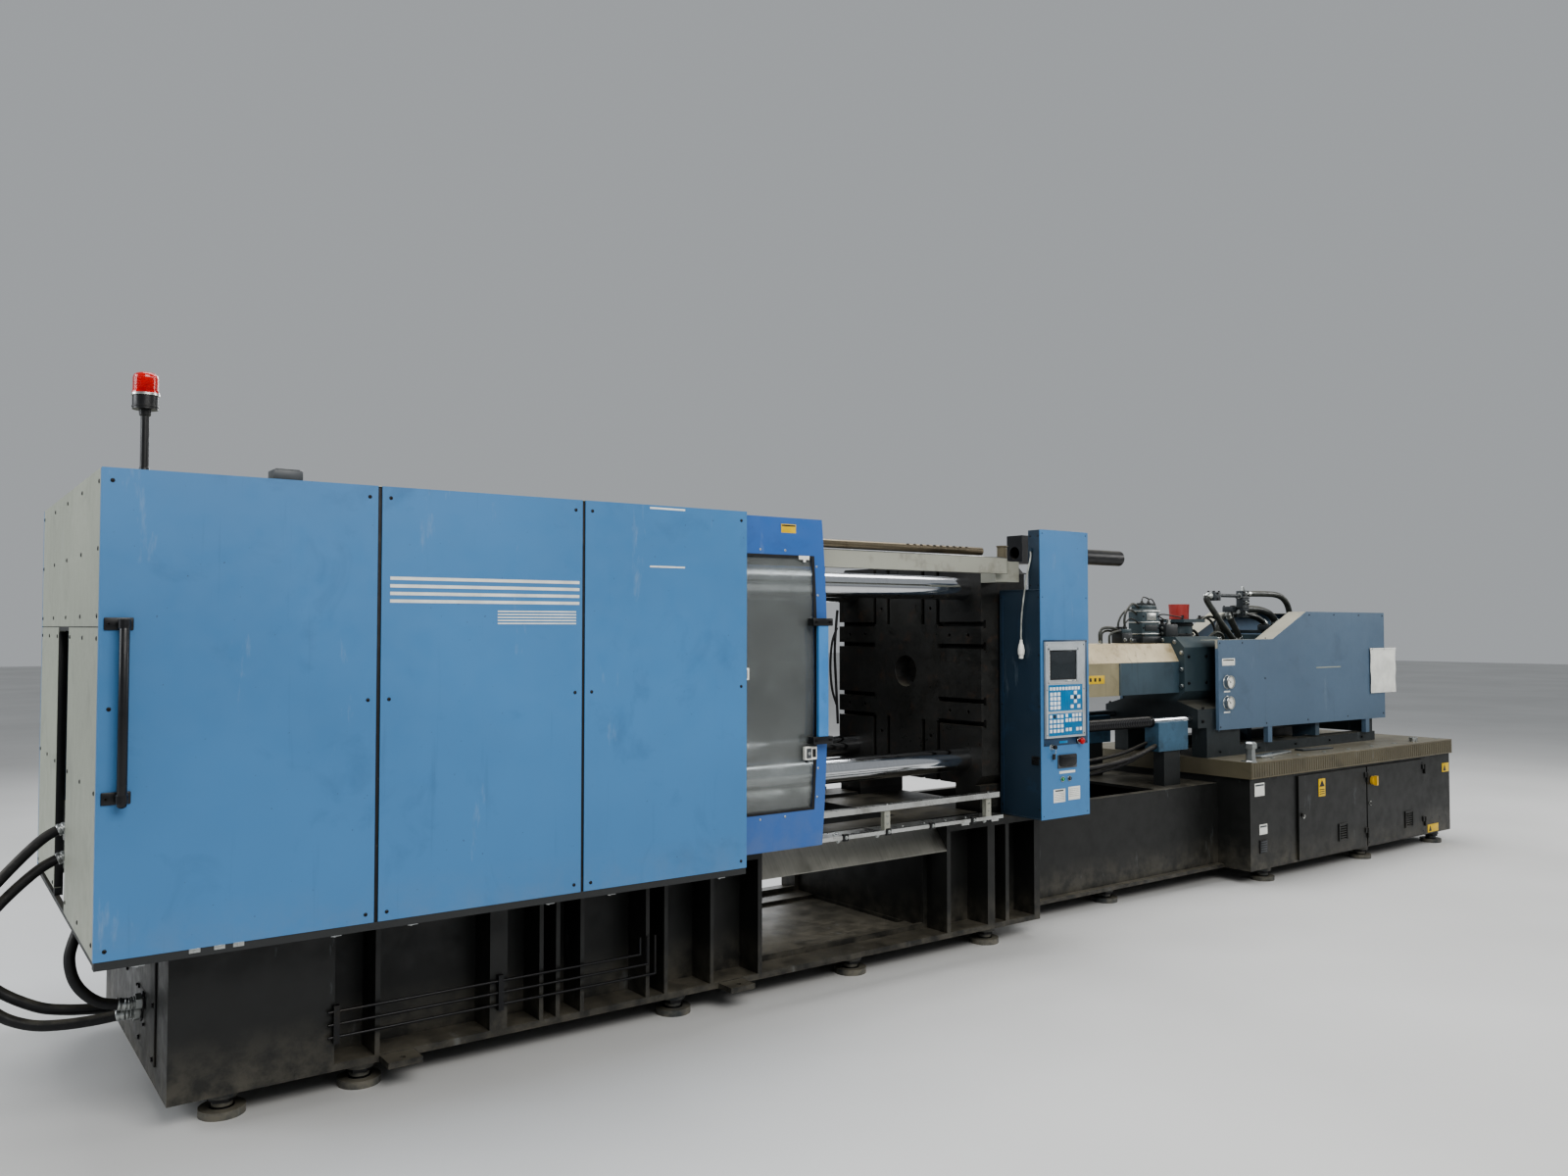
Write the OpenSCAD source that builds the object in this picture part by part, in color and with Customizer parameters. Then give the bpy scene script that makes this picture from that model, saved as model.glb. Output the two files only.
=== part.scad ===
// Horizontal toggle-clamp injection moulding machine, at rest with the mould space open.
// Frame: +X from the clamp end towards the injection end, +Y towards the rear,
// +Z up. Origin on the floor under the middle of the machine. Millimetres.

/* [Overall] */
// Half of the overall length without the hoses
half_len = 5180; // [5180:1:5200]
// Half of the overall depth over the side panels
half_wid = 1010; // [1010:1:1020]
// Height of the clamp and screw axis above the floor
axis_z = 1582; // [1582:1:1584]

/* [Side panels] */
// Thickness of the sheet metal of the covers
sheet = 3; // [2:0.5:3]
// Height of the lower edge of the side panels
panel_z0 = 720; // [720:1:722]
// Height of the upper edge of the side panels
panel_z1 = 2420; // [2420:1:2424]
// Radius of the panel screw heads
screw_r = 9; // [6:0.5:9]

/* [Clamp] */
// Radius of the tie bars
tie_r = 70; // [66:0.5:70]
// Distance of each tie bar from the clamp axis, along Y and along Z
tie_off = 517.5; // [515:0.5:520]
// Half of the side of the square platens
plat_h = 670; // [665:1:670]
// Corner chamfer of the platens
plat_c = 60; // [40:1:80]
// Opening stroke of the moving platen
stroke = 830; // [830:1:830]
// Length of the rear toggle link between its pivots
link_rear = 480; // [480:1:480]
// Length of the front toggle link between its pivots
link_front = 840; // [840:1:840]
// Height of the rear toggle pivots above the clamp axis
piv_rear = 570; // [570:1:570]
// Height of the front toggle pivots above the clamp axis
piv_front = 520; // [520:1:520]
// Length of the crosshead links between their pivots
link_cross = 350; // [350:1:350]
// Radius of the toggle pins
pin_r = 40; // [36:1:40]
// Radius of the locating bore in the fixed platen
locate_r = 100; // [80:1:100]
// Radius of the tapped holes in the platen faces
tap_r = 10.5; // [8:0.5:12]
// Width of the slots in the platen faces
slot_w = 28; // [22:1:28]

/* [Safety door] */
// Length of the sliding safety door
door_len = 2098; // [2096:1:2100]
// Thickness of the door frame
door_t = 20; // [18:0.5:20]
// How far the crown of the bowed door stands before its upper and lower edges
door_bow = 46; // [40:1:46]
// Thickness of the clear window sheet
pane_t = 6; // [4:1:8]

/* [Injection unit] */
// Outer radius of the heated barrel
barrel_r = 95; // [85:1:95]
// Radius of the screw
plast_r = 45; // [35:1:45]
// Radius of the carriage guide rods
rod_r = 30; // [25:1:30]

/* [Hoses] */
// Outer radius of the large hydraulic hoses
hose_r = 21; // [16:1:21]
// Radius of the hanging signal cable
cable_r = 5; // [3:0.5:5]

/* [Hidden] */
$fn = 48;
HL = half_len; HW = half_wid; AZ = axis_z;
X0 = -HL;                         // outer face of the clamp end
// platen faces, at rest
FX0 = -520; FX1 = -140;           // fixed platen
MX0 = -2715; MX1 = -2315;         // moving platen
TX0 = -4004; TX1 = -3704;         // tail platen
FPX = MX0 - 110;                  // front toggle pivots
bx_lock = sqrt(pow(link_rear + link_front, 2) - pow(piv_rear - piv_front, 2));
bx_open = bx_lock - stroke;
RPX = FPX - bx_open;              // rear toggle pivots
dd = sqrt(bx_open * bx_open + pow(piv_rear - piv_front, 2));
base_a = atan2(piv_front - piv_rear, bx_open);
ang_a = acos((link_rear * link_rear + dd * dd - link_front * link_front) / (2 * link_rear * dd));
th_open = base_a - ang_a;         // direction of the rear link, at rest
KX = RPX + link_rear * cos(th_open);
KZ = piv_rear + link_rear * sin(th_open);
// crosshead pivot of the rear link, in the link's own frame
TU = 230; TV = -140;
QX = RPX + TU * cos(th_open) - TV * sin(th_open);
QZ = piv_rear + TU * sin(th_open) + TV * cos(th_open);
CZ = 130;                         // crosshead pin above the axis
CX = QX + sqrt(link_cross * link_cross - pow(QZ - CZ, 2));
// layers of the toggle, as distances from the middle plane
LC0 = 105; LC1 = 150;             // crosshead links
LR0 = 155; LR1 = 230;             // rear links
LF0 = 235; LF1 = 310;             // front links
gap = 0.08;                       // running clearance of pins and bars
door_x0 = -4050; door_y0 = -985;
door_cl = 1515;                   // travel of the doors; the rear one stands closed at rest
NAX = 2020;                       // front face of the injection carriage
rod_z = 1180; rod_y = 350;        // carriage guide rods
panels = [[X0, -4230], [-4214, -3342], [-3328, -2468]];
feet_x = [-4700, -4180, -2680, -1560, -530, 900, 2400, 3800, 5000];
hinge_y = -800;

// route of the large hoses, hand-placed round numbers
route_a = [[-5140,0,1043],[-5170,0,1043],[-5225,0,1020],[-5290,-8,967],[-5390,-20,861],[-5460,-45,775],[-5500,-75,680],[-5505,-100,580],[-5475,-130,470],[-5389,-160,363],[-5262,-195,310],[-5101,-250,311],[-4995,-286,326],[-4952,-286,326]];
route_b = [[-5140,0,926],[-5170,0,926],[-5225,0,904],[-5290,-8,859],[-5389,-28,767],[-5445,-45,690],[-5465,-65,600],[-5445,-88,515],[-5388,-110,442],[-5246,-152,364],[-5090,-190,341],[-4995,-212,336],[-4952,-212,336]];
route_c = [[-5122,-215,748],[-5122,-215,728],[-5128,-221,698],[-5147,-232,653],[-5171,-256,577],[-5161,-282,498],[-5124,-303,437],[-5065,-320,393],[-4987,-328,376],[-4952,-328,376]];
route_p = [[-388,-944,2310],[-388,-944,2270],[-397,-922,2160],[-402,-889,1960],[-402,-880,1830],[-402,-880,1790]];

// ---- helpers -------------------------------------------------------------
module bx(x0, x1, y0, y1, z0, z1) { translate([x0, y0, z0]) cube([x1 - x0, y1 - y0, z1 - z0]); }
module cx(x0, x1, y, z, r) { translate([x0, y, z]) rotate([0, 90, 0]) cylinder(r = r, h = x1 - x0); }
module cy(x, y0, y1, z, r) { translate([x, y0, z]) rotate([-90, 0, 0]) cylinder(r = r, h = y1 - y0); }
module cz(x, y, z0, z1, r) { translate([x, y, z0]) cylinder(r = r, h = z1 - z0); }
module both() { children(); mirror([0, 1, 0]) children(); }
// profile given in Y and Z, drawn out along X
module yz(x0, x1, pts) { translate([x0, 0, 0]) rotate([90, 0, 90]) linear_extrude(x1 - x0) polygon(pts); }
// profile given in X and Z, drawn out along Y
module xz(y0, y1, pts) { translate([0, y1, 0]) rotate([90, 0, 0]) linear_extrude(y1 - y0) polygon(pts); }

function unit(v) = v / norm(v);
function crom(a, b, c, d, t) = 0.5 * ((2 * b) + (c - a) * t + (2 * a - 5 * b + 4 * c - d) * t * t
  + (3 * b - a - 3 * c + d) * t * t * t);
function pick(p, i) = i < 0 ? 2 * p[0] - p[1] : i >= len(p) ? 2 * p[len(p) - 1] - p[len(p) - 2] : p[i];
function smooth(p, k) = concat([for (i = [0 : len(p) - 2], j = [0 : k - 1])
  crom(pick(p, i - 1), p[i], p[i + 1], pick(p, i + 2), j / k)], [p[len(p) - 1]]);
function tang(s, i) = unit(s[min(i + 1, len(s) - 1)] - s[max(i - 1, 0)]);
// a round tube swept along the smoothed route
module sweep(route, r, k, n = 10) {
  s = smooth(route, k);
  m = len(s);
  e = len(route) - 1;
  pts = [for (i = [0 : m - 1]) let (t = i == 0 ? unit(route[1] - route[0])
    : i == m - 1 ? unit(route[e] - route[e - 1]) : tang(s, i), u = unit(cross(t, [0, 1, 0])), v = cross(t, u))
    for (j = [0 : n - 1]) s[i] + r * (cos(j * 360 / n) * u + sin(j * 360 / n) * v)];
  faces = concat([[for (j = [0 : n - 1]) j]], [[for (j = [0 : n - 1]) (m - 1) * n + n - 1 - j]],
    [for (i = [0 : m - 2], j = [0 : n - 1]) [i * n + j, (i + 1) * n + j, (i + 1) * n + (j + 1) % n, i * n + (j + 1) % n]]);
  polyhedron(points = pts, faces = faces, convexity = 6);
}

// ---- bases -----------------------------------------------------------------
module foot_at(x, y) {
  cz(x, y, 0, 30, 85);
  cz(x, y, 30, 70, 40);
  cz(x, y, 70, 100, 60);
}
module levelling_feet() color("#55524c") both() for (x = feet_x) foot_at(x, x > 0 && x < 2000 ? -440 : -690);

module clamp_base() color("#2b2b29") difference() {
  union() {
    // lower flange with the anchor lugs
    bx(-4910, -150, -790, 790, 100, 130);
    both() for (x = [-4130, -2480]) bx(x, x + 140, -900, -790, 100, 125);
    // closed box under the tail end
    bx(-4910, -4885, -790, 790, 130, 700);
    both() bx(-4885, -4310, -790, -768, 130, 700);
    // long webs
    both() bx(-4885, -150, -625, -600, 130, 700);
    // cross walls
    for (x = [-4335, -3630, -2785, -2245, -930, -175]) bx(x, x + 25, -600, 600, 130, 700);
    // outer ribs of the open bays
    both() for (r = [[-4335, 25], [-4150, 20], [-3660, 80], [-3430, 20], [-3350, 20], [-3230, 20],
      [-2890, 20], [-2790, 20], [-2530, 20], [-2245, 25], [-930, 30], [-600, 60], [-450, 30], [-200, 50]])
      bx(r[0], r[0] + r[1], -790, -625, 130, 700);
    // top plate
    bx(-4910, -2220, -790, 790, 700, 740);
    bx(-930, -150, -790, 790, 700, 740);
    both() bx(-2220, -930, -660, -440, 700, 740);
    // hardened ways of the platens
    both() bx(-4100, -540, -655, -450, 740, 759.7);
    // pads under the fixed platen
    both() bx(FX0, FX1, -655, -450, 740, 780);
  }
  // chute well and its side windows
  bx(-2200, -935, -435, 435, 108, 800);
  both() bx(-2190, -960, -640, -590, 160, 570);
  // openings of the cross walls
  for (x = [-3640, -2800]) bx(x, x + 60, -400, 400, 250, 600);
  // anchor holes
  both() for (x = [-4060, -2410]) cz(x, -860, 90, 140, 13);
}

module chute_plate() color("#77756f") both()
  yz(-2220, -930, [[-663, 752], [-663, 748], [-784, 592], [-790, 592], [-790, 598], [-666, 758], [-662, 758]]);

module injection_base() color("#2b2b29") difference() {
  union() {
    // narrow part under the barrel
    bx(-150, 2120, -510, 510, 100, 712);
    // wide cabinet
    bx(2120, HL, -775, 775, 100, 765);
    // thick top tray
    bx(2100, HL, -800, 800, 765, 884);
    // plinth flanges and bolted joint plates
    bx(-150, 2120, -560, 560, 100, 125);
    both() bx(-149, -120, -640, -510, 160, 700);
    both() for (z = [190, 400, 610]) bx(-120, -70, -560, -510, z, z + 60);
    // hinge leaves of the cabinet doors
    for (x = [3732, 4684]) for (z = [180, 620]) {
      bx(x, x + 6, hinge_y, -775, z, z + 40);
      cz(x + 3, hinge_y, z, z + 40, 7);
      cz(x + 3, hinge_y, z, z + 75, 3.5);
    }
  }
  // hollow of the narrow part, open at its ends
  bx(-140, 2100, -490, 490, 110, 690);
  bx(0, 1450, -450, 450, 600, 720);
  // machinery bay behind the doors
  bx(2140, HL - 20, -755, 755, 110, 745);
  bx(2780, 3700, -800, -750, 140, 725);
  bx(3775, 4650, -800, -750, 140, 725);
  // cable and pipe well in the tray
  bx(2700, 4200, -200, 200, 740, 900);
}
module cabinet_door(x0, x1, vent) {
  hx = x1 + 7;
  difference() {
    union() {
      bx(x0, x1, -792, -778, 112, 742);
      for (z = [180, 620]) {
        difference() {
          union() {
            cz(hx, hinge_y, z + 40.5, z + 80, 7);
            bx(x1 - 30, hx, hinge_y, -792, z + 40.5, z + 80);
            bx(x1 - 30, x1, hinge_y, -785, z + 40.5, z + 80);
          }
          cz(hx, hinge_y, z + 30, z + 76, 3.56);
        }
      }
      // lock
      cy(x0 + 45, -804, -792, 450, 14);
      // pocket pressed into the door
      difference() { bx(x0 + vent, x0 + vent + 130, -800, -792, 195, 330); bx(x0 + vent + 8, x0 + vent + 122, -801, -796, 203, 322); }
    }
    // ventilation slots behind the pocket
    for (i = [0 : 5]) bx(x0 + vent + 18, x0 + vent + 112, -802, -770, 212 + i * 18, 220 + i * 18);
    if (vent > 500) cy(3820, -800, -770, 630, 9.06);
  }
}
module cabinet_door_left() color("#2e2e2c") cabinet_door(2735, 3728, 560);
module cabinet_door_right() color("#2e2e2c") cabinet_door(3745, 4680, 600);
module main_switch() color("#c9a24a") union() {
  cy(3820, -812, -792.4, 630, 34);
  cy(3820, -792.4, -774, 630, 9);
  bx(3808, 3832, -838, -812, 592, 668);
}

module pump_motor() color("#4d5a66") union() {
  cx(2900, 3420, 0, 420, 190);
  cx(3420, 3450, 0, 420, 205);
  cx(3450, 3560, 0, 420, 110);
  cx(3560, 3820, 0, 420, 125);
  cx(2840, 2900, 0, 420, 160);
  bx(2960, 3360, -200, 200, 110, 290);
  bx(3080, 3260, -90, 90, 600, 660);
}

module lube_pipes() color("#3a3a38") both() union() {
  for (i = [0 : 2]) {
    z = 340 - 50 * i; x = -2930 + 40 * i;
    cx(-4340, x, -806, z, 6);
    cz(x, -806, z, 420, 6);
    translate([x, -806, z]) sphere(r = 6);
  }
  for (x = [-4320, -3630]) bx(x, x + 24, -814, -790, 215, 365);
}

// ---- clamp ------------------------------------------------------------------
function platen_pts(c) = [[-plat_h + c, AZ - plat_h], [plat_h - c, AZ - plat_h], [plat_h, AZ - plat_h + c],
  [plat_h, AZ + plat_h - c], [plat_h - c, AZ + plat_h], [-plat_h + c, AZ + plat_h], [-plat_h, AZ + plat_h - c], [-plat_h, AZ - plat_h + c]];
// slots and tapped holes of a mould face: f is the face, s points into the platen
module face_cuts(f, s) {
  for (a = [-1, 1], b = [-1, 1], o = [165, 300]) {
    translate([f, 0, AZ]) {
      // upright slots above and below
      translate([s > 0 ? -1 : -24, a * o - slot_w / 2, b > 0 ? 300 : -plat_h - 5]) cube([25, slot_w, plat_h - 295]);
      translate([s > 0 ? 22 : -42, a * o - 24, b > 0 ? 300 : -plat_h - 5]) cube([20, 48, plat_h - 295]);
      // level slots at both sides
      translate([s > 0 ? -1 : -24, b > 0 ? 300 : -plat_h - 5, a * o - slot_w / 2]) cube([25, plat_h - 295, slot_w]);
      translate([s > 0 ? 22 : -42, b > 0 ? 300 : -plat_h - 5, a * o - 24]) cube([20, plat_h - 295, 48]);
    }
  }
  for (a = [-1, 1], b = [-1, 1], o = [400, 560]) {
    cx(s > 0 ? f - 1 : f - 60, s > 0 ? f + 60 : f + 1, a * 232, AZ + b * o, tap_r);
    cx(s > 0 ? f - 1 : f - 60, s > 0 ? f + 60 : f + 1, a * o, AZ + b * 232, tap_r);
  }
}
module tie_bores(x0, x1, r) for (a = [-1, 1], b = [-1, 1]) cx(x0, x1, a * tie_off, AZ + b * tie_off, r);

module fixed_platen() color("#33332f") difference() {
  union() {
    yz(FX0, FX1, platen_pts(plat_c));
    both() bx(FX0, FX1, -655, -450, 780, AZ - plat_h + 1);
    // lifting lugs
    both() bx(-230, -170, -330, -270, AZ + plat_h - 1, AZ + plat_h + 45);
    // machined pad for a take-out robot
    bx(-500, -300, -280, 280, AZ + plat_h - 1, AZ + plat_h + 12);
  }
  tie_bores(FX0 - 5, FX1 + 5, tie_r + gap);
  // locating bore and the deep recess for the nozzle
  cx(FX0 - 5, -390, 0, AZ, locate_r);
  cx(-400, FX1 + 5, 0, AZ, 230);
  // cast pockets of the rear side
  for (a = [0 : 3]) translate([0, 0, AZ]) rotate([a * 90, 0, 0]) bx(-320, FX1 + 5, -180, 180, 290, 560);
  face_cuts(FX0, 1);
}
module tie_bars() color("#d8d8da") for (a = [-1, 1], b = [-1, 1]) translate([0, a * tie_off, AZ + b * tie_off]) {
  cx(-4330, 60, 0, 0, tie_r);
  difference() { cx(FX1, 10, 0, 0, 112); cx(FX1 - 1, 11, 0, 0, tie_r + gap); }
}
module adjusting_nuts() color("#6a6a66") for (a = [-1, 1], b = [-1, 1]) translate([0, a * tie_off, AZ + b * tie_off]) difference() {
  union() { cx(TX0 - 130, TX0, 0, 0, 108); cx(TX0 - 100, TX0 - 50, 0, 0, 140); }
  cx(TX0 - 135, TX0 + 1, 0, 0, tie_r + gap);
}
module tail_platen() color("#3a4650") difference() {
  union() {
    yz(TX0, TX1, platen_pts(plat_c));
    both() bx(TX0, TX1, -655, -450, 760, AZ - plat_h + 1);
    // toggle lugs
    both() for (s = [-1, 1]) {
      bx(TX1 - 1, RPX, LF0, LF1, AZ + s * piv_rear - 80, AZ + s * piv_rear + 80);
      cy(RPX, LF0, LF1, AZ + s * piv_rear, 80);
      cy(RPX, LR0, LF0 + 1, AZ + s * piv_rear, pin_r);
    }
    // crosshead guide bars
    both() cx(TX1 - 1, -2860, 72, AZ, 20);
  }
  tie_bores(TX0 - 5, TX1 + 5, tie_r + gap);
  cx(TX0 - 5, TX1 + 5, 0, AZ, 50 + gap);
  for (a = [0, 180]) translate([0, 0, AZ]) rotate([a, 0, 0]) bx(TX0 - 5, TX0 + 180, -300, 300, 200, 470);
}
module clamp_cylinder() color("#39444e") difference() {
  union() {
    cx(-4790, TX0, 0, AZ, 150);
    bx(TX0 - 50, TX0, -190, 190, AZ - 190, AZ + 190);
    bx(-4840, -4790, -170, 170, AZ - 170, AZ + 170);
    // oil ports
    cz(-4750, 0, AZ + 140, AZ + 185, 28);
    cz(-4110, 0, AZ + 140, AZ + 185, 28);
  }
  cx(-4790, TX0 - 50, 0, AZ, 120);
  cx(TX0 - 60, TX0 + 5, 0, AZ, 50 + gap);
}
module moving_platen() color("#3a4650") difference() {
  union() {
    yz(MX0, MX1, platen_pts(plat_c));
    both() bx(MX0, MX1, -655, -450, 760, AZ - plat_h + 1);
    both() for (s = [-1, 1]) {
      bx(FPX, MX0 + 1, LR0, LR1, AZ + s * piv_front - 75, AZ + s * piv_front + 75);
      cy(FPX, LR0, LR1, AZ + s * piv_front, 75);
      cy(FPX, LR1 - 1, LF1, AZ + s * piv_front, pin_r);
    }
    // bracket of the safety bar
    bx(-2640, -2560, -470, -350, AZ + plat_h - 1, 2392);
  }
  tie_bores(MX0 - 5, MX1 + 5, tie_r + gap);
  // ejector room and its holes
  bx(MX0 - 5, MX0 + 290, -195, 195, AZ - 195, AZ + 195);
  for (a = [-1, 1], b = [-1, 1]) cx(MX0 + 280, MX1 + 5, a * 110, AZ + b * 110, 20 + gap);
  cx(MX0 + 280, MX1 + 5, 0, AZ, 35);
  cx(-2650, -2550, -410, 2342, 25.05);
  face_cuts(MX1, -1);
}
module ejector_plate() color("#8a8a86") union() {
  bx(MX0 + 15, MX0 + 55, -180, 180, AZ - 180, AZ + 180);
  for (a = [-1, 1], b = [-1, 1]) cx(MX0 + 55, MX1 - 60, a * 110, AZ + b * 110, 20);
}
module safety_bar() color("#4a4a48") difference() {
  cx(-2700, -250, -410, 2342, 25);
  for (i = [0 : 9]) bx(-900 + i * 55, -875 + i * 55, -440, -380, 2356, 2372);
}
module rear_link(s) difference() {
  union() {
    for (m = [-1, 1]) scale([1, m, 1]) {
      translate([0, LR1, 0]) rotate([90, 0, 0]) linear_extrude(LR1 - LR0) difference() {
        union() {
          translate([RPX, AZ + s * piv_rear]) circle(r = 78);
          translate([KX, AZ + s * KZ]) circle(r = 74);
          translate([QX, AZ + s * QZ]) circle(r = 58);
          polygon([[RPX + 74 * cos(th_open + 90), AZ + s * (piv_rear + 74 * sin(th_open + 90))],
            [KX + 66 * cos(th_open + 90), AZ + s * (KZ + 66 * sin(th_open + 90))],
            [KX - 66 * cos(th_open + 90), AZ + s * (KZ - 66 * sin(th_open + 90))],
            [QX - 50 * cos(th_open + 60), AZ + s * (QZ - 50 * sin(th_open + 60))],
            [QX - 50 * cos(th_open + 120), AZ + s * (QZ - 50 * sin(th_open + 120))],
            [RPX - 60 * cos(th_open + 60), AZ + s * (piv_rear - 60 * sin(th_open + 60))]]);
        }
        translate([RPX, AZ + s * piv_rear]) circle(r = pin_r + gap);
      }
    }
  }
}
module rear_link_upper() color("#44525e") rear_link(1);
module rear_link_lower() color("#44525e") rear_link(-1);
module front_link(s) {
  a = atan2(KZ - piv_front, KX - FPX);
  for (m = [-1, 1]) scale([1, m, 1])
    translate([0, LF1, 0]) rotate([90, 0, 0]) linear_extrude(LF1 - LF0) difference() {
      union() {
        translate([FPX, AZ + s * piv_front]) circle(r = 72);
        translate([KX, AZ + s * KZ]) circle(r = 72);
        polygon([[FPX + 60 * cos(a + 90), AZ + s * (piv_front + 60 * sin(a + 90))],
          [KX + 60 * cos(a + 90), AZ + s * (KZ + 60 * sin(a + 90))],
          [KX - 60 * cos(a + 90), AZ + s * (KZ - 60 * sin(a + 90))],
          [FPX - 60 * cos(a + 90), AZ + s * (piv_front - 60 * sin(a + 90))]]);
      }
      translate([FPX, AZ + s * piv_front]) circle(r = pin_r + gap);
    }
}
module front_link_upper() color("#4b5964") front_link(1);
module front_link_lower() color("#4b5964") front_link(-1);
module crosshead() color("#55616b") union() {
  difference() {
    bx(CX - 60, CX + 60, -100, 100, AZ - 175, AZ + 175);
    both() cx(CX - 70, CX + 70, 72, AZ, 20 + gap);
  }
  both() for (s = [-1, 1]) cy(CX, 99, LC1, AZ + s * CZ, 30);
  cx(-4730, CX - 59, 0, AZ, 50);
  cx(-4760, -4700, 0, AZ, 119.9);
}
module crosshead_link(s) {
  a = atan2(QZ - CZ, QX - CX);
  for (m = [-1, 1]) scale([1, m, 1])
    translate([0, LC1, 0]) rotate([90, 0, 0]) linear_extrude(LC1 - LC0) difference() {
      union() {
        translate([CX, AZ + s * CZ]) circle(r = 50);
        translate([QX, AZ + s * QZ]) circle(r = 50);
        polygon([[CX + 40 * cos(a + 90), AZ + s * (CZ + 40 * sin(a + 90))],
          [QX + 40 * cos(a + 90), AZ + s * (QZ + 40 * sin(a + 90))],
          [QX - 40 * cos(a + 90), AZ + s * (QZ - 40 * sin(a + 90))],
          [CX - 40 * cos(a + 90), AZ + s * (CZ - 40 * sin(a + 90))]]);
      }
      translate([CX, AZ + s * CZ]) circle(r = 30 + gap);
    }
}
module crosshead_link_upper() color("#55616b") crosshead_link(1);
module crosshead_link_lower() color("#55616b") crosshead_link(-1);

// ---- covers ------------------------------------------------------------------
// one sheet panel with folded upright edges and six screw holes
module side_panel(a, b) difference() {
  union() {
    bx(a, b, -HW, -HW + sheet, panel_z0, panel_z1);
    bx(a, a + sheet, -HW + sheet - 0.5, -HW + 22, panel_z0, 2416);
    bx(b - sheet, b, -HW + sheet - 0.5, -HW + 22, panel_z0, 2416);
  }
  for (p = screw_pts(a, b)) cy(p[0], -HW - 1, -HW + sheet + 1, p[1], 4);
}
function screw_pts(a, b) = [for (x = [a + 34, b - 32], z = [panel_z0 + 34, (panel_z0 + panel_z1) / 2 + 12, panel_z1 - 45]) [x, z]];
module front_panel_left() color("#5686b4") side_panel(panels[0][0], panels[0][1]);
module front_panel_middle() color("#5686b4") side_panel(panels[1][0], panels[1][1]);
module front_panel_right() color("#5686b4") side_panel(panels[2][0], panels[2][1]);
module rear_panels() color("#5686b4") mirror([0, 1, 0]) for (p = panels) side_panel(p[0], p[1]);
module panel_screws() color("#20242a") both() for (q = panels, p = screw_pts(q[0], q[1])) {
  cy(p[0], -HW - 2.5, -HW, p[1], screw_r);
  cy(p[0], -HW - 0.5, -HW + 15, p[1], 3);
}
module guard_frame() color("#2f3132") difference() {
  union() {
    both() {
      // stiffeners behind the panel edges
      for (q = panels) for (x = [q[0] + 14, q[1] - 54]) bx(x, x + 40, -HW + sheet, -HW + 20, panel_z0 - 1, 2416);
      // lower long beam on outriggers
      bx(-5177, -2470, -HW + sheet, -960, 690, panel_z0);
      for (x = [-4890, -4230, -3350, -2500]) bx(x, x + 40, -960, -790, 690, 720);
      // posts and upper beam
      for (x = [-4890, -4230, -3350, -2500]) bx(x, x + 50, -790, -740, 740, 2372);
      bx(-5177, -2450, -790, -740, 2366, 2417);
      for (x = [-5160, -4275, -4190, -3390, -3310, -2515]) bx(x, x + 25, -HW + 19, -789, 2413, 2416);
      // corner posts of the clamp end
      bx(-5177, -5136, -1000, -960, 719, 2417);
    }
    // cross beams
    for (x = [-5177, -4230, -3350, -2500]) bx(x, x + 40, -741, 741, 2394, 2417);
    bx(-5177, -5158, -961, 961, 700, 720);
    bx(-5177, -5146, -961, 961, 1850, 1880);
    // upright edges of the hose gap
    bx(-5177, -5146, -150, -118, 719, 1851);
    bx(-5177, -5146, 268, 300, 719, 1851);
  }
  both() for (q = panels, p = screw_pts(q[0], q[1])) cy(p[0], -HW, -HW + 22, p[1], 3.1);
}
module end_hood() color("#b9bdb4") union() {
  bx(X0, X0 + sheet, -HW + 22.5, HW - 22.5, 1868, 2420);
  bx(X0 + sheet - 1, -2470, -HW + sheet + 0.5, HW - sheet - 0.5, 2417, 2420);
}
module end_panels() color("#b9bdb4") union() {
  bx(X0, X0 + sheet, -HW + 22.5, -112, 722, 1864);
  bx(X0 + 2, X0 + 26, -115, -112, 722, 1849);
  bx(X0, X0 + sheet, 262, HW - 22.5, 752, 1864);
  bx(X0 + 2, X0 + 26, 262, 265, 752, 1849);
}
module grab_handle() color("#17181a") both() union() {
  cz(-5107, -1052, 1252, 1890, 16.5);
  for (z = [1264, 1866]) { bx(-5165, -5095, -1060, -HW, z, z + 22); }
}
module beacon_post() color("#2a2b2c") union() {
  cz(-5006, -710, 2420, 2430, 45);
  cz(-5006, -710, 2430, 2692, 15);
  cz(-5006, -710, 2680, 2736, 44);
}
module beacon_lens() color("#b01818") translate([-5006, -710, 2736]) rotate_extrude()
  polygon([[0, 0], [47, 0], [47, 12], [43, 14], [43, 68], [38, 77], [28, 82], [0, 84]]);

module door_rails() color("#d8d4c4") both() {
  // upper rail with its strip and bracket on the fixed platen
  difference() {
    bx(-4150, -560, -920, -862, 2175, 2265);
    bx(-4160, -550, -912, -850, 2185, 2252);
  }
  bx(-520, -400, -862, -plat_h, 2130, 2186);
  bx(-600, -400, -864, -840, 2130, 2251);
  bx(-4230, -4140, -864, -790, 2184, 2253);
  for (x = [-3350, -2500]) bx(x, x + 40, -864, -790, 2184, 2253);
  // lower rail, its posts and the guide strip
  bx(-4150, -640, -925, -880, 890, 920);
  for (x = [-4080, -3300, -2480, -1510, -740]) bx(x, x + 40, -915, -885, 785, 890);
  bx(-4150, -600, -915, -800, 765, 785);
  for (x = [-4080, -2430, -880, -640]) bx(x, x + 60, -860, -740, 740, 766);
}
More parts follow.
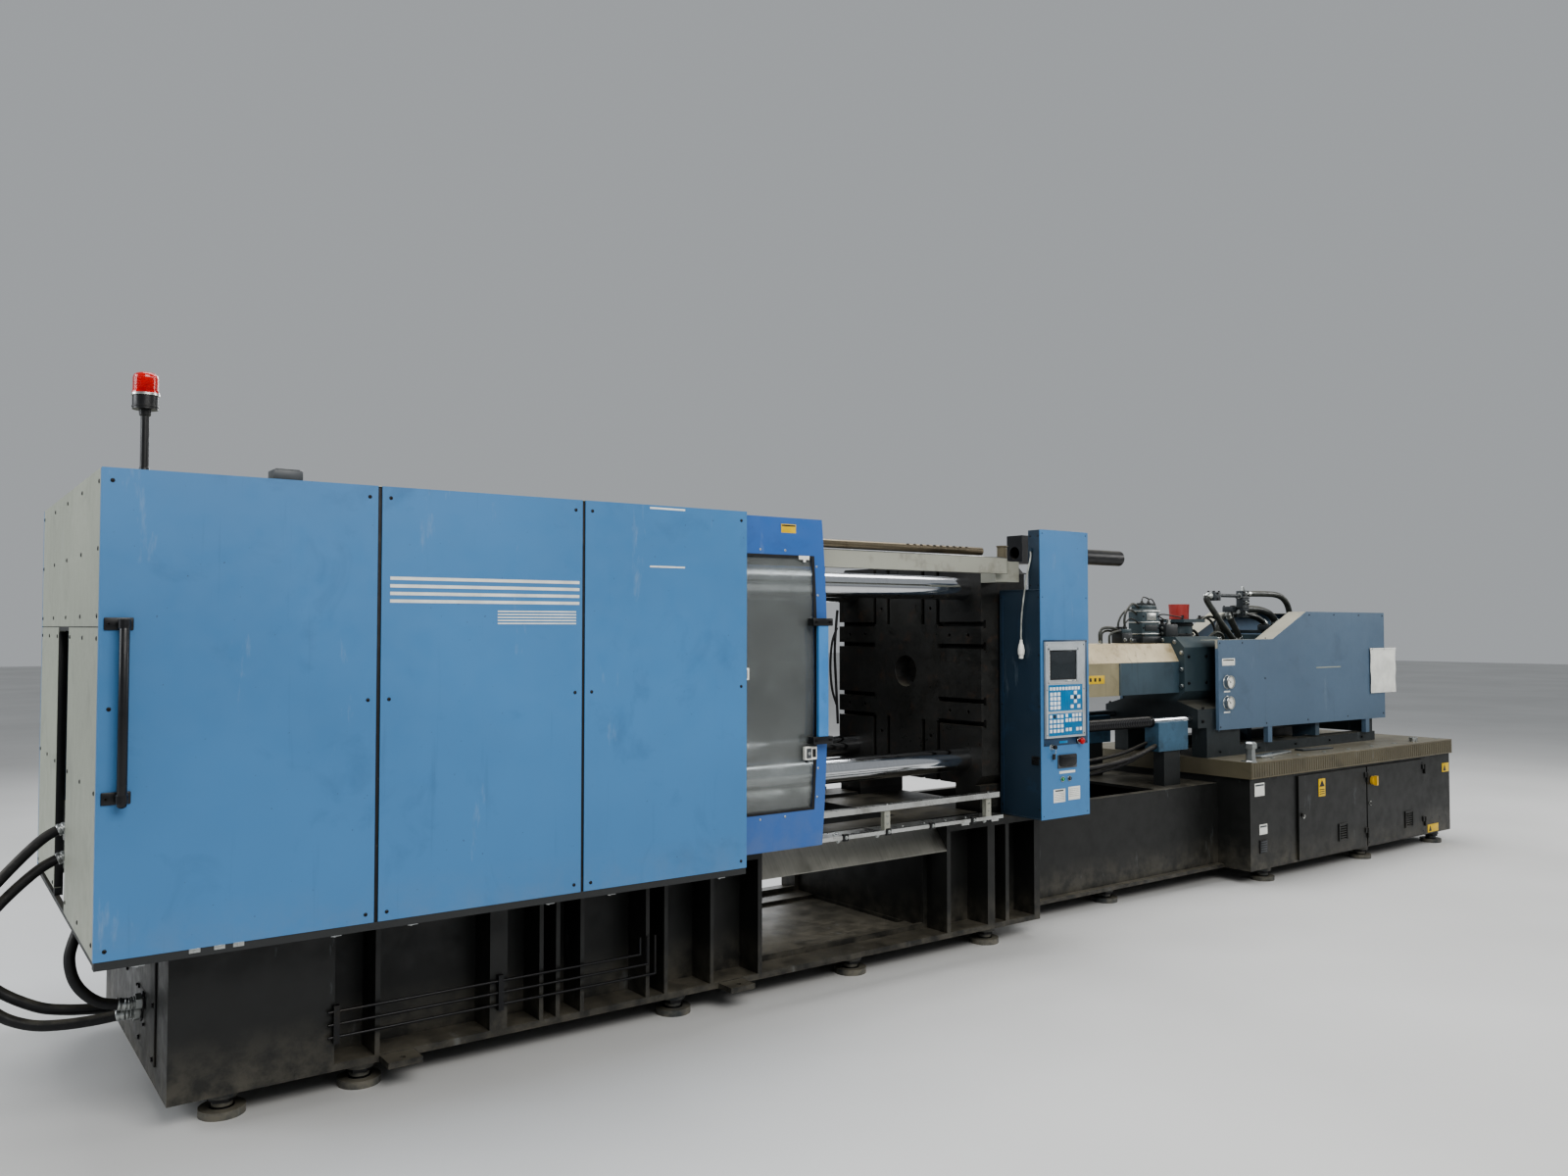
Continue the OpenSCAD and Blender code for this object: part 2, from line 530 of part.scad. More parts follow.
// face of the bowed doors: a shallow arc over the height, crown in the middle
function dface(z) = door_y0 + door_bow * pow((z - 1587) / 825, 2);
function darc(z0, z1, d, n) = [for (i = [0 : n]) let (z = z0 + (z1 - z0) * i / n) [dface(z) + d, z]];
// a sheet that follows the face, from a to b behind it
module bowed(x0, x1, z0, z1, a, b, n) yz(x0, x1, concat(darc(z0, z1, a, n), [for (p = darc(z1, z0, b, n)) p]));
module front_door_body() difference() {
  union() {
    bowed(door_x0, door_x0 + door_len, 762, 2412, 0, door_t, 16);
    // shoes over the rails
    for (x = [-3900, -2200]) {
      bx(x, x + 90, -942, -866, 2265.4, 2290);
      bx(x, x + 90, -946, -886, 920.5, 940);
    }
  }
  // window opening with a rebate for the clear sheet
  bx(-3900, -2030, -1000, -900, 955, 2218);
  bowed(-3920, -2010, 945, 2228, 10, 30, 12);
  // hollow of the sheet-metal frame, open at the back
  bowed(-4030, -1972, 782, 912, 4, 30, 4);
  bowed(-3780, -2250, 2245, 2392, 4, 30, 4);
}
module front_door() color("#3f78b8") front_door_body();
module front_door_window() color("#cfd6d8", 0.4) bowed(-3915, -2015, 950, 2223, 11, 11 + pane_t, 12);
module front_door_handle() color("#2d62a6") union() {
  bx(-2042, -1980, door_y0 - 42, door_y0 - 24, 1300, 1890);
  for (z = [1285, 1875]) bx(-2075, -1958, door_y0 - 45, -980.2, z, z + 30);
}
module rear_door() color("#3f78b8") translate([door_cl, 0, 0]) mirror([0, 1, 0]) union() {
  front_door_body();
  bowed(-3919, -2011, 946, 2227, 9.5, 16, 12);
  bx(-2042, -1980, door_y0 - 25, door_y0 - 12, 1300, 1890);
  for (z = [1285, 1875]) bx(-2075, -1958, door_y0 - 28, -974, z, z + 30);
}

// ---- control column ------------------------------------------------------------
module control_column() color("#5686b4") difference() {
  union() {
    bx(-380, 50, -HW, -690, 740, 2084);
    bx(-380, 50, -HW, -920, 2083, 2435);
    // gland of the hanging cable
    bx(-396, -379, -954, -934, 2310, 2330);
  }
  bx(-376, 46, -HW + 4, -680, 745, 2080);
  bx(-376, 46, -HW + 4, -924, 2079, 2431);
  // openings for the controls
  cy(-53, -HW - 5, -HW + 10, 1186, 8 + gap);
  for (x = [-197, -136]) cy(x, -HW - 5, -HW + 10, 967, 6 + gap);
  bx(-226, -78, -HW - 5, -HW + 10, 1032, 1108);
}
module controller_panel() color("#a9adb0") difference() {
  bx(-352, -2, -HW - 14, -HW, 1212, 1778);
  bx(-322, -74, -HW - 15, -HW - 6, 1540, 1728);
  bx(-330, -24, -HW - 15, -HW - 12, 1222, 1526);
}
module e_stop() color("#c02020") union() {
  cy(-53, -HW - 44, -HW - 24, 1186, 20);
  cy(-53, -HW - 24, -HW + 20, 1186, 8);
}
module push(x) { cy(x, -HW - 12, -HW - 5, 967, 11); cy(x, -HW - 5, -HW + 12, 967, 6); }
module start_button() color("#2f8f4a") push(-197);
module stop_button() color("#222426") push(-136);
module pendant_cable() color("#202020") sweep(route_p, cable_r, 2, 8);
module pendant_plug() color("#e6e4da") translate([-402, -880, 1678]) rotate_extrude($fn = 32)
  polygon([[0, 0], [13, 0], [14, 18], [19, 26], [20, 50], [17, 72], [9, 98], [8, 112], [0, 112]]);

// ---- safety tube -----------------------------------------------------------------
module safety_tube() color("#26262a") difference() {
  union() {
    cx(100, 1120, -410, 2342, 52.5);
    bx(60, 160, -475, -345, 2272, 2455);
    bx(FX1 - 60, FX1 - 10, -475, -345, AZ + plat_h, 2273);
    bx(FX1 - 60, 61, -475, -345, 2272, 2284);
  }
  cx(-70, 1112, -410, 2342, 40);
}

// ---- hoses of the clamp end ---------------------------------------------------------
module hose_couplings() color("#6d6f70") union() {
  bx(-5132, -5122, -300, 300, 820, 1130);
  for (y = [-150, 268]) bx(-5146, -5131, y, y + 32, 830, 1120);
  for (p = [[0, 1043], [0, 926]]) cx(-5140, -5090, p[0], p[1], 26);
  // block of the inner hose under the bulkhead
  bx(-5150, -5094, -245, -185, 770, 822);
  cz(-5122, -215, 748, 771, 26);
  for (p = [[-286, 326], [-212, 336], [-328, 376]]) cx(-4952, -4910, p[0], p[1], 27);
}
module hose_upper() color("#1f1f1f") sweep(route_a, hose_r, 2, 10);
module hose_lower() color("#1f1f1f") sweep(route_b, hose_r, 2, 10);
module hose_inner() color("#1f1f1f") sweep(route_c, hose_r, 2, 10);

// ---- injection unit --------------------------------------------------------------------
module guide_rods() color("#c9cacc") both() {
  cx(FX1, 3720, -rod_y, rod_z, rod_r);
  // saddle under each rod on a pedestal of the narrow base
  bx(1560, 1910, -rod_y - 60, -rod_y + 60, 965, 1172);
  bx(1640, 1830, -rod_y - 45, -rod_y + 45, 712, 966);
  // rear brackets, on the tray beside the skids
  bx(3660, 3720, -285, -205, 884, 1240);
  bx(3660, 3720, -rod_y - 60, -284, 970, 1240);
}
module injection_carriage() color("#3b4852") difference() {
  union() {
    // front housing
    yz(NAX, 2560, [[-230, 1300], [230, 1300], [310, 1380], [310, 1710], [230, 1790], [-230, 1790], [-310, 1710], [-310, 1380]]);
    yz(NAX, 2560, [[-420, 1110], [420, 1110], [420, 1250], [230, 1310], [-230, 1310], [-420, 1250]]);
    // throat and hopper flange
    cz(2400, 0, 1780, 1905, 100);
    bx(2260, 2540, -140, 140, 1900, 1925);
    // skids on the tray
    both() bx(2130, 4600, -420, -290, 884.6, 960);
    both() bx(2130, 2560, -420, -290, 959, 1111);
    // rear plate
    bx(4480, 4560, -420, 420, 959, 1850);
    // injection cylinders and guide bars
    both() {
      cx(2559, 3060, -235, AZ, 82);
      cx(2559, 4481, -250, 1380, 35);
    }
  }
  both() cx(NAX - 5, 2565, -rod_y, rod_z, rod_r + gap);
  both() cx(2700, 3065, -235, AZ, 35 + gap);
  cx(NAX - 5, 2565, 0, AZ, barrel_r + gap);
  cz(2400, 0, AZ, 1930, 60);
  for (a = [-1, 1], b = [-1, 1]) cz(2400 + a * 110, b * 110, 1890, 1930, 7);
  cx(4470, 4570, 0, AZ, 215);
}
module barrel() color("#8c8a84") difference() {
  translate([-390, 0, AZ]) rotate([0, 90, 0]) rotate_extrude() polygon([[plast_r + gap, 260], [3, 190], [3, 0], [18, 0], [32, 14], [36, 40], [36, 180],
    [110, 200], [110, 340], [barrel_r, 342], [barrel_r, 2940], [plast_r + gap, 2940]]);
  cz(2400, 0, AZ, AZ + 120, 50);
}
module barrel_guard() color("#c9c6b8") difference() {
  yz(60, NAX, [[-262, 1370], [-262, 1604], [-190, 1738], [190, 1738], [262, 1604], [262, 1370]]);
  yz(50, NAX - 3, [[-259, 1360], [-259, 1603], [-188, 1735], [188, 1735], [259, 1603], [259, 1360]]);
  yz(NAX - 10, NAX + 10, [[-130, 1360], [-130, 1640], [-100, 1690], [100, 1690], [130, 1640], [130, 1360]]);
}
module cover_sheet() {
  difference() {
    xz(-450, -447, [[2240, 1088], [2240, 1766], [2981, 1768], [3473, 1988], [4730, 1986], [4730, 1072]]);
    for (p = [[2350, 1447], [2347, 1291]]) cy(p[0], -455, -440, p[1], 5);
  }
  // folded upper edges
  bx(2240, 2981, -447, -300, 1763, 1766);
  translate([0, -297, 0]) rotate([90, 0, 0]) linear_extrude(150) polygon([[2978, 1764.5], [2981, 1768], [3473, 1988], [3475, 1984.8], [2984, 1765.2]]);
  bx(3470, 4730, -447, -300, 1983.4, 1986.4);
  bx(2240, 2243, -447, -425, 1088, 1764);
}
module injection_cover() color("#7d93ab") union() {
  both() cover_sheet();
  bx(4727, 4730, -447.5, 447.5, 1262, 1984);
  // feet of the cover on the skids
  both() for (x = [2900, 4400]) bx(x, x + 60, -447.5, -410, 960, 1100);
}
// the three pipes over the housing and the front leg of the first one
pipe_leg = [[2960, -150, 1729], [2930, -150, 1746], [2861, -150, 1800], [2750, -150, 1892], [2640, -150, 1990],
  [2572, -150, 2052], [2549, -150, 2082], [2556, -150, 2106], [2580, -150, 2109], [2602, -150, 2109]];
pipe_outer = [[3084, -150, 2134], [3300, -150, 2137], [3505, -150, 2134], [3620, -150, 2112], [3697, -150, 2060],
  [3735, -150, 1985], [3740, -150, 1920], [3738, -150, 1879]];
pipe_inner = [[3059, -60, 2008], [3200, -60, 2012], [3400, -60, 2008], [3550, -60, 1982], [3640, -60, 1935], [3678, -60, 1879]];
pipe_short = [[2990, -60, 1992], [2992, -60, 1965], [3030, -60, 1905], [3100, -60, 1820], [3134, -60, 1765], [3140, -60, 1729]];
pipe_back = [[3010, 50, 1729], [3000, 50, 1800], [3004, 50, 1880], [3060, 50, 1942], [3200, 50, 1966], [3400, 50, 1964],
  [3560, 50, 1945], [3665, 50, 1905], [3690, 50, 1879]];
module injection_hydraulics() color("#2c2f31") union() {
  // hydraulic motor and valve blocks over the front of the carriage
  bx(1800, 2010, -100, 30, 1790, 2000);
  bx(1816, 1994, -84, 14, 1999, 2030);
  bx(1790, 2019, -110, 40, 1742, 1791);
  bx(1560, 1680, -100, 0, 1742, 1850);
  bx(1679, 1791, -80, -10, 1742, 1775);
  bx(2009, 2051, -70, 20, 1795, 1860);
  bx(2050, 2200, -130, 110, 1790, 1885);
  // red collar that stands on the hopper flange
  translate([2400, 0, 1925]) rotate_extrude() polygon([[67, 0], [71, 0], [79, 112], [79, 117], [74, 117], [74, 112]]);
  // pipes, flange block, valve block and manifolds
  bx(2560, 3180, -180, 90, 1666, 1730);
  sweep(pipe_leg, 24, 3, 12);
  bx(2600, 2690, -185, -115, 2073, 2141);
  cx(2689, 3001, -150, 2115, 14);
  bx(3000, 3090, -180, -119, 1941, 2157);
  bx(2945, 3060, -120, -28, 1985, 2030);
  sweep(pipe_outer, 24, 3, 12);
  sweep(pipe_inner, 30, 3, 12);
  sweep(pipe_short, 26, 3, 12);
  sweep(pipe_back, 24, 3, 12);
  bx(3640, 3800, -180, 90, 1836, 1880);
  // cross bar that carries the rear manifold between the cover sides
  bx(3690, 3750, -447, 447, 1810, 1837);
}
module screw_drive() color("#3d4a54") union() {
  difference() {
    bx(3500, 3620, -340, 340, 1290, 1800);
    both() cx(3490, 3630, -250, 1380, 35 + gap);
    cx(3490, 3580, 0, AZ, plast_r + gap);
  }
  both() cx(3020, 3501, -235, AZ, 35);
  cx(3619, 3700, 0, AZ, 130);
  cx(3700, 4040, 0, AZ, 180);
}
module screw() color("#b4b5b8") translate([180, 0, AZ]) rotate([0, 90, 0]) rotate_extrude()
  polygon([[0, 0], [12, 4], [38, 66], [38, 90], [plast_r, 92], [plast_r, 3390], [0, 3390]]);

// ---- show -----------------------------------------------------------------------------
clamp_base();
injection_base();
levelling_feet();
lube_pipes();
fixed_platen();
tie_bars();
front_panel_left();
front_panel_middle();
front_panel_right();
rear_panels();
panel_screws();
guard_frame();
end_hood();
end_panels();
grab_handle();
beacon_post();
beacon_lens();
door_rails();
control_column();
controller_panel();
safety_tube();
chute_plate();
pump_motor();
hose_couplings();
hose_upper();
hose_lower();
hose_inner();
pendant_cable();
pendant_plug();
guide_rods();
front_door();
front_door_window();
front_door_handle();
rear_door();
tail_platen();
adjusting_nuts();
clamp_cylinder();
moving_platen();
safety_bar();
rear_link_upper();
rear_link_lower();
front_link_upper();
front_link_lower();
crosshead();
crosshead_link_upper();
crosshead_link_lower();
ejector_plate();
e_stop();
start_button();
stop_button();
main_switch();
cabinet_door_left();
cabinet_door_right();
injection_carriage();
barrel();
barrel_guard();
injection_cover();
injection_hydraulics();
screw_drive();
screw();
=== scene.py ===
import math
import random

import bmesh
import bpy
from mathutils import Matrix, Vector


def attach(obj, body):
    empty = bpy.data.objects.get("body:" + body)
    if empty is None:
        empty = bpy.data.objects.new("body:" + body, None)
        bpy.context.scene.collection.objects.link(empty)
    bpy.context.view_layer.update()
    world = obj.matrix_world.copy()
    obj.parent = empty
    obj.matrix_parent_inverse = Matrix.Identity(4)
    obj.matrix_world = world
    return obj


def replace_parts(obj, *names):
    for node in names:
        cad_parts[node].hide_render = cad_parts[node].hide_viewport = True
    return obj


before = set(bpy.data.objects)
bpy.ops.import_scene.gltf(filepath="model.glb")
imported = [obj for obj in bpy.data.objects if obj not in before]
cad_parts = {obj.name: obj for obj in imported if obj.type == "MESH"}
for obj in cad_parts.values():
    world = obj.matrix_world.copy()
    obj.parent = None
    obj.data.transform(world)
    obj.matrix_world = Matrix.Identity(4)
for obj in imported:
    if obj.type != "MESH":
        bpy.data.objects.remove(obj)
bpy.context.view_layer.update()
S = 0.001  # the numbers below are in millimetres, as in part.scad

# ---------------------------------------------------------------------------
# camera at the photograph's viewing angle
# ---------------------------------------------------------------------------
cam_data = bpy.data.cameras.new("photo_camera")
cam_data.lens = 27.336
cam_data.sensor_width = 36.0
cam_data.clip_end = 200.0
cam = bpy.data.objects.new("photo_camera", cam_data)
cam.location = (-5.7325, -5.7009, 1.8685)
cam.rotation_euler = (math.radians(91.8447), 0.0, math.radians(-36.6225))
bpy.context.scene.collection.objects.link(cam)
bpy.context.scene.camera = cam


# ---------------------------------------------------------------------------
# materials: one small node builder
# ---------------------------------------------------------------------------
def lin(h, k=1.0):
    """#rrggbb as linear RGBA, times k"""
    h = h.lstrip("#")
    out = []
    for i in (0, 2, 4):
        c = int(h[i:i + 2], 16) / 255.0
        c = c / 12.92 if c <= 0.04045 else ((c + 0.055) / 1.055) ** 2.4
        out.append(min(1.0, c * k))
    return (out[0], out[1], out[2], 1.0)


class Mat:
    def __init__(self, name):
        self.m = bpy.data.materials.new(name)
        self.m.use_nodes = True
        self.t = self.m.node_tree
        self.b = next(n for n in self.t.nodes if n.type == "BSDF_PRINCIPLED")
        tc = self.t.nodes.new("ShaderNodeTexCoord")
        self.co = tc.outputs["Object"]
        self.geo = None
        self.split = None
        self.height = None

    def put(self, socket, value):
        if isinstance(value, bpy.types.NodeSocket):
            self.t.links.new(value, socket)
        else:
            socket.default_value = value

    def xyz(self, i):
        if self.split is None:
            self.split = self.t.nodes.new("ShaderNodeSeparateXYZ")
            self.t.links.new(self.co, self.split.inputs[0])
        return self.split.outputs[i]

    def normal(self, i):
        if self.geo is None:
            g = self.t.nodes.new("ShaderNodeNewGeometry")
            self.geo = self.t.nodes.new("ShaderNodeSeparateXYZ")
            self.t.links.new(g.outputs["Normal"], self.geo.inputs[0])
        return self.geo.outputs[i]

    def stretch(self, sx, sy, sz):
        n = self.t.nodes.new("ShaderNodeMapping")
        self.t.links.new(self.co, n.inputs["Vector"])
        n.inputs["Scale"].default_value = (sx, sy, sz)
        return n.outputs[0]

    def noise(self, scale, detail=3.0, rough=0.5, vec=None, dist=0.0):
        n = self.t.nodes.new("ShaderNodeTexNoise")
        self.t.links.new(vec if vec is not None else self.co, n.inputs["Vector"])
        n.inputs["Scale"].default_value = scale
        n.inputs["Detail"].default_value = detail
        n.inputs["Roughness"].default_value = rough
        n.inputs["Distortion"].default_value = dist
        return n.outputs["Fac"]

    def cells(self, scale, vec=None, feature="F1", out="Distance", rand=1.0):
        n = self.t.nodes.new("ShaderNodeTexVoronoi")
        n.feature = feature
        self.t.links.new(vec if vec is not None else self.co, n.inputs["Vector"])
        n.inputs["Scale"].default_value = scale
        n.inputs["Randomness"].default_value = rand
        return n.outputs[out]

    def wave(self, scale, vec=None, direction="X", dist=0.0, kind="BANDS"):
        n = self.t.nodes.new("ShaderNodeTexWave")
        n.wave_type = kind
        if kind == "BANDS":
            n.bands_direction = direction
        self.t.links.new(vec if vec is not None else self.co, n.inputs["Vector"])
        n.inputs["Scale"].default_value = scale
        n.inputs["Distortion"].default_value = dist
        return n.outputs["Fac"]

    def span(self, v, a, b, lo=0.0, hi=1.0, smooth=False):
        n = self.t.nodes.new("ShaderNodeMapRange")
        n.clamp = True
        if smooth:
            n.interpolation_type = "SMOOTHSTEP"
        self.put(n.inputs["Value"], v)
        n.inputs["From Min"].default_value = a
        n.inputs["From Max"].default_value = b
        n.inputs["To Min"].default_value = lo
        n.inputs["To Max"].default_value = hi
        return n.outputs["Result"]

    def math(self, op, a, b=0.0):
        n = self.t.nodes.new("ShaderNodeMath")
        n.operation = op
        self.put(n.inputs[0], a)
        self.put(n.inputs[1], b)
        return n.outputs[0]

    def mix(self, fac, a, b):
        n = self.t.nodes.new("ShaderNodeMix")
        n.data_type = "RGBA"
        self.put(n.inputs["Factor"], fac)
        self.put(n.inputs[6], a)
        self.put(n.inputs[7], b)
        return n.outputs[2]

    def color(self, v):
        self.put(self.b.inputs["Base Color"], v)
        return self

    def rough(self, v):
        self.put(self.b.inputs["Roughness"], v)
        return self

    def metal(self, v):
        self.put(self.b.inputs["Metallic"], v)
        return self

    def bump(self, height, strength=0.2, distance=0.001):
        n = self.t.nodes.new("ShaderNodeBump")
        n.inputs["Strength"].default_value = strength
        n.inputs["Distance"].default_value = distance
        self.t.links.new(height, n.inputs["Height"])
        if self.height is not None:
            self.t.links.new(self.height, n.inputs["Normal"])
        self.height = n.outputs[0]
        self.t.links.new(self.height, self.b.inputs["Normal"])
        return self


DUST = lin("#8d8778")
GRIME = lin("#1d1b17")


def paint(name, hexa, r0=0.36, r1=0.52, dents=0.25, peel=0.12, dust=0.35, low=0.7, smudge=0.35,
          chips=0.5, vary=0.07, tint=None, mask=None, streak=0.25, grimy=0.55):
    """Sprayed enamel on sheet or cast metal: uneven tone, wiped smudges, drips, floor dust, chips, orange peel."""
    M = Mat(name)
    base = lin(hexa)
    c = M.mix(M.span(M.noise(0.8, 3, 0.5), 0.36, 0.64), lin(hexa, 1 - vary), lin(hexa, 1 + vary))
    if tint is not None and mask is not None:
        t = M.mix(M.span(M.noise(1.3, 2, 0.5), 0.36, 0.64), lin(tint, 1 - vary), lin(tint, 1 + vary))
        c = M.mix(mask(M), c, t)
    # hand and oil smudges
    sm = M.span(M.noise(3.4, 7, 0.62, dist=0.6), 0.56, 0.70, 0.0, smudge)
    c = M.mix(sm, c, lin(hexa, 0.55))
    # pale rub marks
    rub = M.span(M.noise(7.0, 5, 0.7, vec=M.stretch(1.0, 1.0, 0.22)), 0.63, 0.72, 0.0, 0.16)
    c = M.mix(rub, c, lin("#b9c2c8"))
    # thin drips that run down
    dr = M.span(M.noise(26.0, 3, 0.6, vec=M.stretch(1.0, 1.0, 0.045)), 0.64, 0.74, 0.0, streak)
    c = M.mix(dr, c, GRIME)
    # dust and splashes near the floor
    lowf = M.math("MULTIPLY", M.span(M.xyz(2), 0.02, low, 1.0, 0.0), M.span(M.noise(9.0, 6, 0.65), 0.40, 0.62, 0.15, 1.0))
    c = M.mix(M.math("MULTIPLY", lowf, grimy), c, DUST)
    # dust on faces that look up
    up = M.math("MULTIPLY", M.span(M.normal(2), 0.6, 0.98), M.span(M.noise(5.5, 5, 0.6), 0.34, 0.60, 0.3, 1.0))
    c = M.mix(M.math("MULTIPLY", up, dust), c, DUST)
    # small chips
    ch = M.span(M.noise(58.0, 3, 0.55), 0.735, 0.76, 0.0, chips)
    c = M.mix(ch, c, lin("#3b3733"))
    M.color(c)
    M.rough(M.span(M.noise(11.0, 5, 0.6), 0.3, 0.7, r0, r1))
    M.bump(M.noise(1.7, 2, 0.4), dents, 0.006)
    M.bump(M.noise(420.0, 2, 0.5), peel, 0.0004)
    M.bump(M.math("SUBTRACT", 1.0, ch), 0.35, 0.0003)
    return M.m


def cast(name, hexa, r0=0.42, r1=0.68, grain=0.5, rust=0.25, metal=0.0, oil=0.5):
    """Dark oiled casting with coarse skin."""
    M = Mat(name)
    c = M.mix(M.span(M.noise(2.2, 5, 0.6), 0.35, 0.65), lin(hexa, 0.72), lin(hexa, 1.3))
    c = M.mix(M.span(M.noise(12.0, 7, 0.68), 0.55, 0.72, 0.0, rust), c, lin("#6b4a30"))
    c = M.mix(M.span(M.noise(40.0, 4, 0.6), 0.60, 0.72, 0.0, 0.35), c, lin("#0b0b0a"))
    up = M.math("MULTIPLY", M.span(M.normal(2), 0.6, 0.98), M.span(M.noise(6.0, 5, 0.6), 0.36, 0.62, 0.2, 1.0))
    c = M.mix(M.math("MULTIPLY", up, 0.35), c, DUST)
    M.color(c).metal(metal)
    wet = M.span(M.noise(3.1, 6, 0.6, dist=0.8), 0.50, 0.62, 0.0, oil)
    M.rough(M.math("SUBTRACT", M.span(M.noise(30.0, 4, 0.6), 0.3, 0.7, r0, r1), M.math("MULTIPLY", wet, 0.35)))
    M.bump(M.noise(95.0, 5, 0.62), grain, 0.0012)
    M.bump(M.noise(6.0, 3, 0.5), 0.15, 0.003)
    return M.m


def steel(name, hexa, r0=0.16, r1=0.34, axis=0, lines=0.22, tarnish=0.35, stain="#4a443a", fine=900.0, spec=None):
    """Machined or plated steel: fine tool lines round the axis, oil film, tarnish."""
    M = Mat(name)
    st = [6.0, 6.0, 6.0]
    st[axis] = fine
    v = M.stretch(*st)
    ln = M.noise(1.0, 3, 0.6, vec=v)
    c = M.mix(M.span(ln, 0.3, 0.7), lin(hexa, 0.86), lin(hexa, 1.06))
    c = M.mix(M.span(M.noise(4.0, 6, 0.65, dist=0.5), 0.54, 0.72, 0.0, tarnish), c, lin(stain))
    c = M.mix(M.span(M.noise(75.0, 4, 0.6), 0.66, 0.74, 0.0, tarnish), c, lin(stain, 0.6))
    M.color(c).metal(1.0)
    sm = M.span(M.noise(8.0, 6, 0.6), 0.3, 0.7, r0, r1)
    M.rough(M.math("ADD", sm, M.span(ln, 0.3, 0.7, -0.03, 0.05)))
    M.bump(ln, lines, 0.0002)
    M.bump(M.noise(160.0, 3, 0.6), 0.06, 0.0003)
    return M.m


def plastic(name, hexa, r0=0.32, r1=0.48, grain=0.25, scale=700.0, spec=None, dust=0.25, coat=0.0):
    """Moulded plastic with a fine leather-free texture, handled spots and settled dust."""
    M = Mat(name)
    c = M.mix(M.span(M.noise(9.0, 4, 0.6), 0.35, 0.65), lin(hexa, 0.88), lin(hexa, 1.08))
    c = M.mix(M.span(M.noise(60.0, 5, 0.65), 0.60, 0.74, 0.0, 0.3), c, lin(hexa, 0.5))
    up = M.math("MULTIPLY", M.span(M.normal(2), 0.5, 0.95), M.span(M.noise(22.0, 4, 0.6), 0.35, 0.62, 0.3, 1.0))
    c = M.mix(M.math("MULTIPLY", up, dust), c, DUST)
    M.color(c).rough(M.span(M.noise(25.0, 5, 0.6), 0.3, 0.7, r0, r1))
    M.bump(M.noise(scale, 2, 0.5), grain, 0.0003)
    if coat:
        M.b.inputs["Coat Weight"].default_value = coat
    return M.m


def rubber(name, hexa="#141416", r0=0.42, r1=0.62, along=0.0):
    """Hose rubber: dull black with wrap marks, chalky scuffs and oil."""
    M = Mat(name)
    c = M.mix(M.span(M.noise(18.0, 5, 0.6), 0.35, 0.65), lin(hexa, 0.75), lin(hexa, 1.7))
    c = M.mix(M.span(M.noise(44.0, 6, 0.7), 0.60, 0.72, 0.0, 0.35), c, lin("#5d5a54"))
    # paler on faces that look up: partly settled dust, partly a painted highlight along the tops of the hoses
    up = M.math("MULTIPLY", M.span(M.normal(2), 0.3, 0.95), M.span(M.noise(14.0, 5, 0.6), 0.35, 0.62, 0.2, 1.0))
    c = M.mix(M.math("MULTIPLY", up, 0.4), c, DUST)
    M.color(c).rough(M.span(M.noise(16.0, 5, 0.6), 0.3, 0.7, r0, r1))
    M.bump(M.wave(150.0, direction="DIAGONAL", dist=0.4), 0.12, 0.0004)
    M.bump(M.noise(300.0, 3, 0.6), 0.25, 0.0003)
    return M.m


def clear(name, hexa, r0=0.03, r1=0.14, scratches=0.25, ior=1.49):
    """Clear sheet with fine scratches and a dusty film."""
    M = Mat(name)
    M.color(M.mix(M.span(M.noise(5.0, 5, 0.6), 0.35, 0.65), lin(hexa, 0.88), lin(hexa, 1.05)))
    sc = M.span(M.noise(60.0, 3, 0.7, vec=M.stretch(1.0, 1.0, 0.05)), 0.60, 0.70)
    M.rough(M.math("ADD", M.span(M.noise(6.0, 6, 0.65), 0.38, 0.66, r0, r1), M.math("MULTIPLY", sc, scratches)))
    M.b.inputs["Transmission Weight"].default_value = 1.0
    M.b.inputs["IOR"].default_value = ior
    M.bump(M.noise(2.2, 2, 0.5), 0.08, 0.004)
    return M.m


def glow(name, hexa, e=0.0, r0=0.1, r1=0.2):
    """Deep coloured lens."""
    M = Mat(name)
    M.color(M.mix(M.span(M.noise(14.0, 4, 0.6), 0.35, 0.65), lin(hexa, 0.7), lin(hexa, 1.2)))
    M.rough(M.span(M.noise(20.0, 4, 0.6), 0.3, 0.7, r0, r1))
    M.b.inputs["Coat Weight"].default_value = 0.6
    M.bump(M.noise(40.0, 2, 0.5), 0.05, 0.0008)
    return M.m


# ---------------------------------------------------------------------------
# mesh helpers: every piece is built here, in millimetres, and rides on a body
# ---------------------------------------------------------------------------
AX = {"x": Vector((1, 0, 0)), "y": Vector((0, 1, 0)), "z": Vector((0, 0, 1))}


def crom(a, b, c, d, t):
    return 0.5 * ((2 * b) + (c - a) * t + (2 * a - 5 * b + 4 * c - d) * t * t + (3 * b - a - 3 * c + d) * t ** 3)


def smooth_route(pts, k):
    p = [Vector(q) for q in pts]
    g = [2 * p[0] - p[1]] + p + [2 * p[-1] - p[-2]]
    out = []
    for i in range(len(p) - 1):
        for j in range(k):
            out.append(crom(g[i], g[i + 1], g[i + 2], g[i + 3], j / k))
    return out + [p[-1]]


